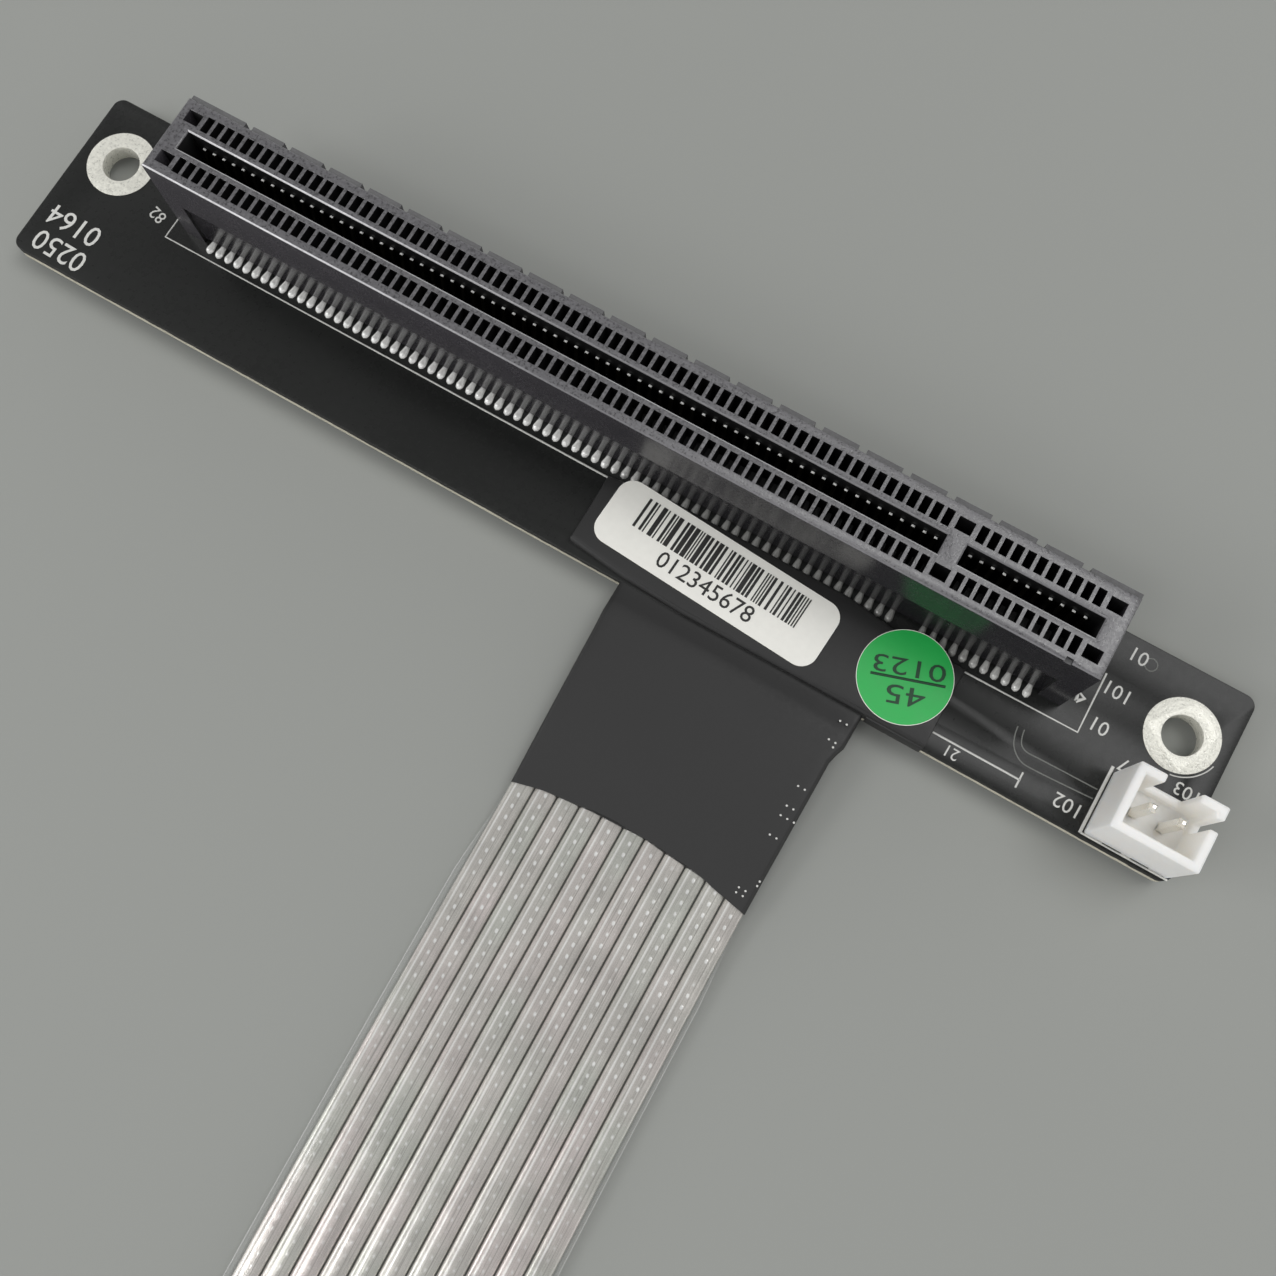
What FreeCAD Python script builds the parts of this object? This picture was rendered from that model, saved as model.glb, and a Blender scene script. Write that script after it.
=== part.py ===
"""Extension cable for a graphics card: a slot board, its flat cable and the edge plug card."""
import FreeCAD, Part
import math
import os
import re
import Sketcher
from types import SimpleNamespace
from FreeCAD import Placement, Rotation, Vector

doc = FreeCAD.newDocument("graphics_extension_cable")

# Driving dimensions, in millimetres. X runs along the slot, Y away from the cable, Z up.
SIZES = {
    "board_length": (116.5, "slot board along X"),
    "board_width": (17.5, "slot board along Y"),
    "board_thickness": (1.6, "slot board"),
    "board_corner_radius": (1.0, "corners of the slot board"),
    "hole_from_end": (4.25, "mounting holes to the ends of the board"),
    "hole_diameter": (3.5, "mounting hole inside its plating"),
    "hole_from_far_edge": (5.8, "mounting holes to the board's far edge"),
    "ring_diameter": (6.5, "plated ring around a mounting hole"),
    "plating": (0.05, "thickness of the hole plating"),
    "slot_shift": (0.25, "slot centre left of the board's centre"),
    "slot_from_far_edge": (4.92, "line of the card slot to the board's far edge"),
    "housing_length": (88.8, "slot housing along X"),
    "housing_height": (11.25, "slot housing above the board"),
    "near_reach": (3.64, "slot line to the wall on the cable side"),
    "far_reach": (3.64, "slot line to the far wall"),
    "standoff": (0.4, "housing floor above the board, between its end blocks"),
    "edge_chamfer": (0.12, "top edges of the housing and of the card slot"),
    "skirt_height": (6.0, "recessed lower part of the long walls"),
    "skirt_depth": (0.3, "how deep the lower part is recessed"),
    "card_slot_width": (1.8, "gap for the card's edge"),
    "end_wall": (1.75, "end of the housing to the card slot"),
    "card_slot_depth": (8.0, "from the top of the housing"),
    "key_bar": (1.7, "bar that fills the card's notch"),
    "contact_pitch": (1.0, "between contacts of a row"),
    "short_group": (11, "contacts of a row on the short side of the key"),
    "long_group": (71, "contacts of a row on the long side of the key"),
    "key_pitch": (3.0, "between the two contacts beside the key"),
    "row_offset": (2.15, "slot line to the middle of a row of cavities"),
    "cavity_length": (0.7, "cavity along X"),
    "cavity_width": (1.45, "cavity along Y"),
    "rim_height": (2.0, "closed rim between a cavity and the card slot"),
    "end_pocket_from_end": (1.43, "end of the housing to its coring pockets"),
    "pocket_length": (1.4, "coring pocket along X"),
    "pocket_width": (1.15, "coring pocket along Y"),
    "pocket_depth": (3.0, "coring pocket from the top"),
    "rib_pitch": (3.915, "between the ribs of the far wall"),
    "rib_gap": (0.75, "gap between ribs"),
    "rib_gap_from_end": (4.7, "end of the housing to the first gap"),
    "rib_depth": (0.48, "how far a rib stands out"),
    "rib_below_top": (0.35, "rib to the top of the housing"),
    "rib_above_board": (2.0, "rib to the board"),
    "notch_length": (0.6, "notch in the top edge beside contact 1"),
    "notch_depth": (0.4, "notch in the top edge, along Y and Z"),
    "notch_from_end": (2.73, "end of the housing to the notch"),
    "end_block": (2.05, "end of the housing to the recess between its end blocks"),
    "end_margin": (2.9, "end of the housing to the outermost contact"),
    "contact_width": (0.5, "contact along X"),
    "contact_thickness": (0.22, "contact strip"),
    "tail_reach": (4.35, "slot line to the end of a solder tail"),
    "tip_reach": (0.72, "slot line to the contact's tip"),
    "tip_drop": (0.15, "contact tip below the rim"),
    "solder_length": (0.5, "solder in front of a tail"),
    "header_length": (7.5, "power header along X"),
    "header_width": (5.8, "power header along Y"),
    "header_height": (7.0, "power header above the board"),
    "header_wall": (0.75, "power header walls"),
    "header_floor": (1.2, "power header floor"),
    "header_from_right": (0.3, "power header to the board's right edge"),
    "header_from_near": (0.4, "power header to the board's edge on the cable side"),
    "header_gap_length": (2.95, "gap in the header's far wall"),
    "header_gap_depth": (5.0, "gap in the header's far wall, from the rim"),
    "header_slit_width": (1.0, "slit in the header's right wall"),
    "header_slit_offset": (1.2, "slit to the far face of the header"),
    "header_foot_height": (0.25, "hollow under the header's floor"),
    "header_foot_length": (1.68, "outer feet of the header along X"),
    "header_mid_foot": (0.8, "middle foot of the header along X"),
    "pin_pitch": (2.5, "between the two power pins"),
    "pin_size": (0.64, "square power pins"),
    "pin_height": (6.0, "power pins above the board"),
    "pin_tail": (1.2, "power pins below the board"),
    "pin_from_near": (3.13, "power pins to the near face of the header"),
    "pin_hole": (1.0, "hole for a power pin"),
    "cone_diameter": (2.0, "solder cone at the board"),
    "cone_tip_diameter": (1.0, "solder cone at its lower end"),
    "cone_height": (0.9, "solder cone below the board"),
    "tape_left": (1.15, "left edge of the tape from the board's centre"),
    "tape_right": (35.95, "right edge of the tape from the board's centre"),
    "tape_thickness": (0.12, "black insulating tape"),
    "tape_rise": (0.75, "top of the tape above the board"),
    "tape_clearance": (0.1, "tape to the solder of the slot"),
    "label_length": (22.3, "white label"),
    "label_margin": (1.33, "tape left bare beside the label, in all"),
    "label_lap": (0.12, "label past the far edge of the tape"),
    "label_corner_radius": (1.5, "white label"),
    "label_x": (13.6, "middle of the label"),
    "label_turn": (-3.8, "label turned on the board, in degrees"),
    "sticker_diameter": (8.2, "round green sticker"),
    "sticker_x": (31.8, "middle of the sticker"),
    "sticker_clearance": (0.36, "sticker to the slot housing"),
    "paper": (0.08, "thickness of the label and of the sticker"),
    "pair_count": (11, "shielded pairs of the flat cable"),
    "pair_pitch": (2.03, "between shielded pairs"),
    "pair_width": (1.93, "shielded pair across the cable"),
    "pair_height": (1.0, "shielded pair, thickness"),
    "film": (0.05, "clear film over and under the pairs"),
    "film_margin": (0.7, "clear film past the outer pairs"),
    "sleeve_length": (19.4, "black tape wrapped round the cable at the slot board"),
    "plug_sleeve_length": (12.0, "black tape wrapped round the cable at the plug card"),
    "sleeve_wall": (0.12, "black tape wrapped round the cable"),
    "sleeve_clearance": (0.03, "wrapped tape to the films"),
    "wire_size": (0.25, "soldered wire of a pair"),
    "wire_spread": (0.9, "between the two wires of a pair"),
    "wire_landing": (3.0, "soldered wire on a board"),
    "card_length": (42.0, "edge plug card along the cable"),
    "card_width": (22.0, "edge plug card across the cable"),
    "card_thickness": (0.8, "edge plug card"),
    "tongue_length": (4.0, "narrow end of the edge plug card"),
    "tongue_width": (19.85, "narrow end of the edge plug card"),
    "key_notch_width": (1.2, "notch in the edge plug card"),
    "key_notch_depth": (3.5, "notch in the edge plug card"),
    "key_notch_offset": (6.125, "notch to the middle of the card"),
    "finger_pitch": (0.5, "between gold fingers of one side"),
    "finger_width": (0.35, "gold finger"),
    "finger_length": (2.0, "gold finger"),
    "finger_inset": (0.5, "gold finger to the end of the card"),
    "finger_thickness": (0.03, "gold finger"),
    "finger_positions": (37, "finger places across one side, the notch's among them"),
    "plug_tape_length": (9.0, "black tape over the wires on the plug card"),
}

# Route of the cable's middle, from the slot board's edge to the edge plug card.
ROUTE = [
    Vector(18.55, -8.75, 2.55),
    Vector(18.60, -16.0, 2.55),
    Vector(18.80, -30.5, 0.75),
    Vector(19.35, -60.0, 0.75),
    Vector(21.25, -119.0, 0.75),
    Vector(24.25, -188.5, 0.75),
    Vector(24.75, -258.0, 0.75),
]
ARC_SHARE = 0.45

sheet = doc.addObject("Spreadsheet::Sheet", "Sizes")
for row, (alias, (number, note)) in enumerate(SIZES.items(), start=1):
    sheet.set(f"A{row}", note)
    sheet.set(f"B{row}", str(number))
    sheet.setAlias(f"B{row}", alias)
doc.recompute()
dim = SimpleNamespace(**{alias: float(sheet.get(alias)) for alias in SIZES})
ALIAS = re.compile(r"\b(" + "|".join(SIZES) + r")\b")

# Places that several pieces share, as expressions of the driving dimensions.
BOARD_TOP = "(pin_tail + board_thickness)"
SLOT_X = "(-slot_shift)"
SLOT_Y = "(board_width / 2 - slot_from_far_edge)"
HOLE_X = "(board_length / 2 - hole_from_end)"
HOLE_Y = "(board_width / 2 - hole_from_far_edge)"
HEADER_X = "(board_length / 2 - header_from_right - header_length / 2)"
HEADER_Y = "(-board_width / 2 + header_from_near + header_width / 2)"
PIN_Y = "(-board_width / 2 + header_from_near + pin_from_near)"
FIRST_CONTACT = "(contact_pitch * (long_group + short_group - 2) / 2 + key_pitch / 2)"
KEY_X = "(" + FIRST_CONTACT + " - contact_pitch * (short_group - 1) - key_pitch / 2)"
LAST_PLACE = "(housing_length / 2 - end_margin)"
BLOCK_X = "(housing_length / 2 - end_block)"
TAPE_FAR = "(" + SLOT_Y + " - tail_reach - solder_length - tape_clearance)"
LABEL_WIDTH = "(" + TAPE_FAR + " + board_width / 2 - label_margin)"
LABEL_Y = "(" + TAPE_FAR + " + label_lap - " + LABEL_WIDTH + " / 2)"
STICKER_Y = "(" + SLOT_Y + " - near_reach - sticker_clearance - sticker_diameter / 2)"

# Contacts that fit between the ends of the housing, counted on each side of the key.
COUNT_SLACK = 0.001
SHORT_START = "(" + KEY_X + " + key_pitch / 2)"
LONG_START = "(" + KEY_X + " - key_pitch / 2)"
SHORT_FIT = f"floor(({LAST_PLACE} - {SHORT_START}) / contact_pitch + 1 + {COUNT_SLACK})"
LONG_FIT = f"floor(({LAST_PLACE} + {LONG_START}) / contact_pitch + 1 + {COUNT_SLACK})"
SHORT_COUNT = f"min(short_group; {SHORT_FIT})"
LONG_COUNT = f"min(long_group; {LONG_FIT})"
OUTER_SHORT = f"({SHORT_START} + contact_pitch * ({SHORT_COUNT} - 1))"
RIB_GAPS = "floor((housing_length - 2 * rib_gap_from_end) / rib_pitch + 1)"


def named(expression):
    """The expression with each driving dimension read from the sheet."""
    return ALIAS.sub(r"Sizes.\1", expression)


def measure(expression):
    """The value of an expression of driving dimensions, for shapes made in code."""
    return sheet.evalExpression(named(expression))


def bind(thing, **sizes):
    """Bind properties of a document object to expressions; Base_x stands for Placement.Base.x."""
    for name, expression in sizes.items():
        path = "Placement." + name.replace("_", ".") if name.startswith("Base_") else name
        thing.setExpression(path, named(expression))


def new_body(label, x="0", y="0", z="0"):
    body = doc.addObject("PartDesign::Body", label)
    body.Label = label
    bind(body, Base_x=x, Base_y=y, Base_z=z)
    return body


def new_sketch(body, name, plane="XY_Plane", lift="0"):
    """A sketch on one of the body's own planes, lifted along the plane's normal."""
    sketch = body.newObject("Sketcher::SketchObject", name)
    support = next(item for item in body.Origin.OriginFeatures if item.Role == plane)
    sketch.AttachmentSupport = (support, [""])
    sketch.MapMode = "FlatFace"
    sketch.setExpression("AttachmentOffset.Base.z", named(lift))
    return sketch


def add_rectangle(sketch, low_x, low_y, high_x, high_y):
    """A rectangle whose four sides are bound to expressions, measured from the sketch's origin."""
    x0, y0, x1, y1 = (measure(side) for side in (low_x, low_y, high_x, high_y))
    corners = [Vector(x0, y0), Vector(x1, y0), Vector(x1, y1), Vector(x0, y1)]
    first = sketch.GeometryCount
    for index, corner in enumerate(corners):
        sketch.addGeometry(Part.LineSegment(corner, corners[(index + 1) % 4]))
    for index in range(4):
        ahead = first + (index + 1) % 4
        sketch.addConstraint(Sketcher.Constraint("Coincident", first + index, 2, ahead, 1))
        level = "Horizontal" if index % 2 == 0 else "Vertical"
        sketch.addConstraint(Sketcher.Constraint(level, first + index))
    sides = (("DistanceX", 0, x0, low_x), ("DistanceY", 0, y0, low_y),
             ("DistanceX", 2, x1, high_x), ("DistanceY", 2, y1, high_y))
    for kind, corner, number, expression in sides:
        place = sketch.addConstraint(Sketcher.Constraint(kind, -1, 1, first + corner, 1, number))
        sketch.setExpression(f"Constraints[{place}]", named(expression))


def add_circle(sketch, x, y, diameter):
    """A circle bound to expressions, measured from the sketch's origin."""
    centre = Vector(measure(x), measure(y))
    circle = sketch.addGeometry(Part.Circle(centre, Vector(0, 0, 1), measure(diameter) / 2))
    for kind, number, expression in (("DistanceX", centre.x, x), ("DistanceY", centre.y, y)):
        place = sketch.addConstraint(Sketcher.Constraint(kind, -1, 1, circle, 3, number))
        sketch.setExpression(f"Constraints[{place}]", named(expression))
    size = sketch.addConstraint(Sketcher.Constraint("Diameter", circle, measure(diameter)))
    sketch.setExpression(f"Constraints[{size}]", named(diameter))


def pad(body, sketch, length):
    feature = body.newObject("PartDesign::Pad", sketch.Name + "Pad")
    feature.Profile = sketch
    bind(feature, Length=length)
    doc.recompute()
    return feature


def pocket(body, sketch, depth=None, upwards=False):
    """Cut the sketch into the body, to a depth or right through, and make sure that it cuts."""
    before = body.Shape.Volume
    feature = body.newObject("PartDesign::Pocket", sketch.Name + "Pocket")
    feature.Profile = sketch
    feature.Reversed = upwards
    if depth is None:
        feature.Type = "ThroughAll"
    else:
        bind(feature, Length=depth)
    doc.recompute()
    if body.Shape.Volume >= before:
        raise RuntimeError(sketch.Name + " cuts nothing")
    return feature


def repeat(body, features, pitch, count, towards_minus_x=False):
    """Repeat features along X."""
    pattern = body.newObject("PartDesign::LinearPattern", features[0].Name + "Row")
    axis = next(item for item in body.Origin.OriginFeatures if item.Role == "X_Axis")
    pattern.Originals = features
    pattern.Refine = False
    pattern.Direction = (axis, [""])
    pattern.Reversed = towards_minus_x
    bind(pattern, Length=f"{pitch} * ({count} - 1)", Occurrences=count)
    body.Tip = pattern
    doc.recompute()
    return pattern


def upright_edges(feature):
    """Names of a flat plate's edges from its lower to its upper face."""
    return [f"Edge{number}" for number, edge in enumerate(feature.Shape.Edges, start=1)
            if edge.BoundBox.ZLength > edge.BoundBox.XLength + edge.BoundBox.YLength]


def cylinder(name, diameter, height, x, y, z):
    solid = doc.addObject("Part::Cylinder", name)
    bind(solid, Radius=f"({diameter}) / 2", Height=height, Base_x=x, Base_y=y, Base_z=z)
    return solid


def box(name, low, high):
    """A box between two corners given as expressions."""
    solid = doc.addObject("Part::Box", name)
    length, width, height = (f"({far}) - ({near})" for near, far in zip(low, high))
    bind(solid, Base_x=low[0], Base_y=low[1], Base_z=low[2], Length=length, Width=width, Height=height)
    return solid


def cut(label, base, tool):
    result = doc.addObject("Part::Cut", label)
    result.Label = label
    result.Base = base
    result.Tool = tool
    return result


def group(label, members):
    """Separate solids of one kind, kept together."""
    result = doc.addObject("Part::Compound", label)
    result.Label = label
    result.Links = members
    return result


def shaped(label, shape, placement=Placement()):
    result = doc.addObject("Part::Feature", label)
    result.Label = label
    result.Shape = shape
    result.Placement = placement
    return result


def prism(points, width):
    """A solid with a profile of (y, z) points, as wide as given along X and centred there."""
    outline = [Vector(-width / 2, y, z) for y, z in points]
    face = Part.Face(Part.makePolygon(outline + outline[:1]))
    return face.extrude(Vector(width, 0, 0))


def slot_board():
    body = new_body("slot_board", z="pin_tail")
    outline = new_sketch(body, "BoardOutline")
    add_rectangle(outline, "-board_length / 2", "-board_width / 2", "board_length / 2", "board_width / 2")
    plate = pad(body, outline, "board_thickness")
    rounding = body.newObject("PartDesign::Fillet", "BoardCorners")
    rounding.Base = (plate, upright_edges(plate))
    bind(rounding, Radius="board_corner_radius")
    doc.recompute()
    drill = new_sketch(body, "BoardHoles")
    for side in ("-", ""):
        add_circle(drill, f"{side}{HOLE_X}", HOLE_Y, "hole_diameter + 2 * plating")
        add_circle(drill, f"{HEADER_X} + ({side}pin_pitch / 2)", PIN_Y, "pin_hole")
    pocket(body, drill, upwards=True)
    return body


def hole_plating(label, side):
    """A plated mounting hole: a ring on each face of the board, joined through the hole."""
    x = f"{side}{HOLE_X}"
    low = "pin_tail - plating"
    upper = cylinder(label + "_upper_ring", "ring_diameter", "plating", x, HOLE_Y, BOARD_TOP)
    lower = cylinder(label + "_lower_ring", "ring_diameter", "plating", x, HOLE_Y, low)
    through = "board_thickness + 2 * plating"
    barrel = cylinder(label + "_barrel", "hole_diameter + 2 * plating", "board_thickness", x, HOLE_Y,
                      "pin_tail")
    bore = cylinder(label + "_bore", "hole_diameter", through, x, HOLE_Y, low)
    full = doc.addObject("Part::MultiFuse", label + "_full")
    full.Shapes = [upper, barrel, lower]
    return cut(label, full, bore)


def slot_housing():
    """The moulded slot: a card gap with a key bar, and a cavity for each contact beside it.

    The cavities go through the rim into a channel on each side of the gap, which is open to the gap
    and to the board, so that a contact stands in it and springs into the gap.
    """
    body = new_body("slot_housing", SLOT_X, SLOT_Y, BOARD_TOP)
    half = "housing_length / 2"
    outline = new_sketch(body, "HousingOutline")
    add_rectangle(outline, f"-{half}", "-near_reach", half, "far_reach")
    pad(body, outline, "housing_height")

    gap = new_sketch(body, "CardGap", lift="housing_height")
    slit = "card_slot_width / 2"
    reach = "(housing_length / 2 - end_wall)"
    add_rectangle(gap, f"-{reach}", f"-{slit}", f"{KEY_X} - key_bar / 2", slit)
    add_rectangle(gap, f"{KEY_X} + key_bar / 2", f"-{slit}", reach, slit)
    hollow = pocket(body, gap, "card_slot_depth")

    top = dim.housing_height
    rims = [f"Edge{number}" for number, edge in enumerate(hollow.Shape.Edges, start=1)
            if all(abs(point.Z - top) < 1e-6 for point in edge.Vertexes)]
    lead_in = body.newObject("PartDesign::Chamfer", "TopEdges")
    lead_in.Base = (hollow, rims)
    bind(lead_in, Size="edge_chamfer")
    doc.recompute()

    skirt = new_sketch(body, "Skirt")
    past = "1 + rib_depth"
    add_rectangle(skirt, f"-{BLOCK_X}", f"-near_reach - {past}", BLOCK_X, "-near_reach + skirt_depth")
    add_rectangle(skirt, f"-{BLOCK_X}", "far_reach - skirt_depth", BLOCK_X, f"far_reach + {past}")
    pocket(body, skirt, "skirt_height", upwards=True)
    floor = new_sketch(body, "Underside")
    add_rectangle(floor, f"-{BLOCK_X}", f"-near_reach - {past}", BLOCK_X, f"far_reach + {past}")
    pocket(body, floor, "standoff", upwards=True)

    coring = new_sketch(body, "CoringPockets", lift="housing_height")
    end_pocket = f"({half} - end_pocket_from_end)"
    for x in ("-" + end_pocket, KEY_X, end_pocket):
        for side in ("-row_offset", "row_offset"):
            add_rectangle(coring, f"{x} - pocket_length / 2", f"{side} - pocket_width / 2",
                          f"{x} + pocket_length / 2", f"{side} + pocket_width / 2")
    pocket(body, coring, "pocket_depth")
    notch = new_sketch(body, "EdgeNotch", lift="housing_height")
    notch_x = f"{half} - notch_from_end"
    add_rectangle(notch, f"{notch_x} - notch_length / 2", "-near_reach - 1",
                  f"{notch_x} + notch_length / 2", "-near_reach + notch_depth")
    pocket(body, notch, "notch_depth")

    ridge = new_sketch(body, "FarRidge", lift="rib_above_board")
    add_rectangle(ridge, f"-{half}", "far_reach - skirt_depth", half, "far_reach + rib_depth")
    rib_height = "housing_height - rib_below_top - rib_above_board"
    pad(body, ridge, rib_height)
    gaps = new_sketch(body, "RibGaps", lift="rib_above_board")
    gap_x = f"{half} - rib_gap_from_end"
    add_rectangle(gaps, f"{gap_x} - rib_gap / 2", "far_reach",
                  f"{gap_x} + rib_gap / 2", "far_reach + 2 * rib_depth")
    first_gap = pocket(body, gaps, rib_height, upwards=True)
    repeat(body, [first_gap], "rib_pitch", RIB_GAPS, towards_minus_x=True)

    outer = "row_offset + cavity_width / 2"
    inner = "row_offset - cavity_width / 2"
    slot_floor = "housing_height - card_slot_depth"
    groups = (("Short", OUTER_SHORT, SHORT_COUNT), ("Long", LONG_START, LONG_COUNT))
    for name, x, count in groups:
        left = f"{x} - cavity_length / 2"
        right = f"{x} + cavity_length / 2"
        last_left = f"{left} - contact_pitch * ({count} - 1)"
        undercut = new_sketch(body, name + "Undercut", lift=slot_floor)
        add_rectangle(undercut, last_left, f"-({inner})", right, inner)
        pocket(body, undercut, "card_slot_depth - rim_height", upwards=True)
        channels = new_sketch(body, name + "Channels")
        add_rectangle(channels, last_left, f"-({outer})", right, f"-({inner})")
        add_rectangle(channels, last_left, inner, right, outer)
        pocket(body, channels, "housing_height - rim_height", upwards=True)
        cavities = new_sketch(body, name + "Cavities", lift="housing_height")
        add_rectangle(cavities, left, f"-({outer})", right, f"-({inner})")
        add_rectangle(cavities, left, inner, right, outer)
        wells = pocket(body, cavities, "rim_height")
        repeat(body, [wells], "contact_pitch", count, towards_minus_x=True)
    return body


def contact_places():
    """X of every contact of a row, from contact 1 on."""
    places = []
    for start, count in ((OUTER_SHORT, SHORT_COUNT), (LONG_START, LONG_COUNT)):
        first = measure(start)
        places += [first - dim.contact_pitch * index for index in range(int(measure(count)))]
    return places


def contact_profile():
    """Outline of a contact as (distance from the slot line, height above the board)."""
    back = dim.row_offset + dim.cavity_width / 2
    thick = dim.contact_thickness
    tip = dim.housing_height - dim.rim_height - dim.tip_drop
    return [
        (dim.tail_reach, 0),
        (dim.tail_reach, thick),
        (back, thick),
        (dim.tip_reach + thick, tip),
        (dim.tip_reach, tip),
        (back - thick, 0),
    ]


def row_of(label, profile, side):
    """One solid of the given profile at every contact place, on the near (-1) or far (1) side."""
    solid = prism([(side * reach, height) for reach, height in profile], dim.contact_width)
    copies = [solid.translated(Vector(x, 0, 0)) for x in contact_places()]
    seat = Vector(measure(SLOT_X), measure(SLOT_Y), measure(BOARD_TOP))
    return shaped(label, Part.makeCompound(copies), Placement(seat, Rotation()))


def solder_profile():
    """Solder that wets the end of a tail, as (distance from the slot line, height)."""
    toe = dim.tail_reach
    return [(toe, 0), (toe + dim.solder_length, 0), (toe, dim.contact_thickness)]


def power_header():
    """Two-pin shrouded header, with a gap in its far wall and a slit in its right wall."""
    body = new_body("power_header", HEADER_X, HEADER_Y, BOARD_TOP)
    long_half = "header_length / 2"
    wide_half = "header_width / 2"
    outline = new_sketch(body, "HeaderOutline")
    add_rectangle(outline, f"-{long_half}", f"-{wide_half}", long_half, wide_half)
    pad(body, outline, "header_height")
    well = new_sketch(body, "HeaderWell", lift="header_height")
    add_rectangle(well, f"-{long_half} + header_wall", f"-{wide_half} + header_wall",
                  f"{long_half} - header_wall", f"{wide_half} - header_wall")
    pocket(body, well, "header_height - header_floor")
    gap = new_sketch(body, "HeaderGap", lift="header_height")
    add_rectangle(gap, "-header_gap_length / 2", f"{wide_half} - header_wall - 0.1 * header_wall",
                  "header_gap_length / 2", f"{wide_half} + header_wall")
    add_rectangle(gap, f"{long_half} - header_wall - 0.1 * header_wall",
                  f"{wide_half} - header_slit_offset - header_slit_width",
                  f"{long_half} + header_wall", f"{wide_half} - header_slit_offset")
    pocket(body, gap, "header_gap_depth")
    feet = new_sketch(body, "HeaderFeet")
    hollow = "header_length / 2 - header_foot_length"
    add_rectangle(feet, f"-({hollow})", f"-{wide_half} - 1", "-header_mid_foot / 2", f"{wide_half} + 1")
    add_rectangle(feet, "header_mid_foot / 2", f"-{wide_half} - 1", hollow, f"{wide_half} + 1")
    pocket(body, feet, "header_foot_height", upwards=True)
    holes = new_sketch(body, "HeaderPinHoles")
    pin_y = "pin_from_near - header_width / 2"
    for side in ("-", ""):
        x = f"({side}pin_pitch / 2)"
        add_rectangle(holes, f"{x} - pin_size / 2", f"{pin_y} - pin_size / 2",
                      f"{x} + pin_size / 2", f"{pin_y} + pin_size / 2")
    pocket(body, holes, "header_floor + header_foot_height", upwards=True)
    return body


def power_pin(name, side):
    x = f"({HEADER_X} + ({side}pin_pitch / 2))"
    half = "pin_size / 2"
    return box(name, (f"{x} - {half}", f"{PIN_Y} - {half}", "0"),
               (f"{x} + {half}", f"{PIN_Y} + {half}", f"{BOARD_TOP} + pin_height"))


def solder_cone(name, side, pin):
    """Solder under the board round the tail of a power pin."""
    cone = doc.addObject("Part::Cone", name + "_full")
    bind(cone, Radius1="cone_tip_diameter / 2", Radius2="cone_diameter / 2", Height="cone_height",
         Base_x=f"{HEADER_X} + ({side}pin_pitch / 2)", Base_y=PIN_Y, Base_z="pin_tail - cone_height")
    return cut(name, cone, pin)


def board_tape():
    """Black tape over the soldered wires: a shallow cover, open towards the cable."""
    near = "-board_width / 2"
    skin = "tape_thickness"
    top = f"{BOARD_TOP} + tape_rise"
    outer = box("tape_outer", ("tape_left", near, BOARD_TOP), ("tape_right", TAPE_FAR, top))
    inner = box("tape_inner", (f"tape_left + {skin}", f"{near} - 1", f"{BOARD_TOP} - 1"),
                (f"tape_right - {skin}", f"{TAPE_FAR} - {skin}", f"{top} - {skin}"))
    return cut("board_tape", outer, inner)


def white_label():
    body = new_body("barcode_label", "label_x", LABEL_Y, f"{BOARD_TOP} + tape_rise")
    body.setExpression("Placement.Rotation.Angle", named("label_turn"))
    outline = new_sketch(body, "LabelOutline")
    half_width = LABEL_WIDTH + " / 2"
    add_rectangle(outline, "-label_length / 2", "-" + half_width, "label_length / 2", half_width)
    sheet_of_paper = pad(body, outline, "paper")
    rounding = body.newObject("PartDesign::Fillet", "LabelCorners")
    rounding.Base = (sheet_of_paper, upright_edges(sheet_of_paper))
    bind(rounding, Radius="label_corner_radius")
    return body


def round_sticker():
    disc = cylinder("inspection_sticker", "sticker_diameter", "paper", "sticker_x",
                    STICKER_Y, f"{BOARD_TOP} + tape_rise")
    disc.Label = "inspection_sticker"
    return disc


def bend_radius(before, corner, after):
    """Largest radius that the two runs at a corner allow, and half of its turn."""
    arriving = corner - before
    leaving = after - corner
    half_turn = arriving.getAngle(leaving) / 2
    return ARC_SHARE * min(arriving.Length, leaving.Length) / math.tan(half_turn), half_turn


def cable_path(route):
    """Straight runs joined by tangent arcs, as large as the runs allow."""
    edges = []
    start = route[0]
    for before, corner, after in zip(route, route[1:], route[2:]):
        radius, half_turn = bend_radius(before, corner, after)
        setback = radius * math.tan(half_turn)
        back = (before - corner).normalize()
        ahead = (after - corner).normalize()
        enter = corner + back * setback
        leave = corner + ahead * setback
        inward = (back + ahead).normalize()
        middle = corner + inward * (radius / math.cos(half_turn) - radius)
        edges.append(Part.LineSegment(start, enter).toShape())
        edges.append(Part.Arc(enter, middle, leave).toShape())
        start = leave
    edges.append(Part.LineSegment(start, route[-1]).toShape())
    return Part.Wire(edges)


def swept(path, outline):
    """Sweep a closed outline of (across, up) edges along the path, kept level across the cable."""
    shell = Part.BRepOffsetAPI.MakePipeShell(path)
    shell.setBiNormalMode(Vector(1, 0, 0))
    shell.add(outline)
    shell.build()
    shell.makeSolid()
    return shell.shape()


def at_route_start(outline, route):
    """Move an outline from the XZ plane to the start of a route."""
    return outline.translated(route[0])


def flat_outline(low_x, low_z, high_x, high_z):
    across_and_up = ((low_x, low_z), (high_x, low_z), (high_x, high_z), (low_x, high_z))
    corners = [Vector(x, 0, z) for x, z in across_and_up]
    return Part.makePolygon(corners + corners[:1])


def pair_offset(index):
    """Place of a pair across the cable, from its middle."""
    return (index - (dim.pair_count - 1) / 2) * dim.pair_pitch


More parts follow.
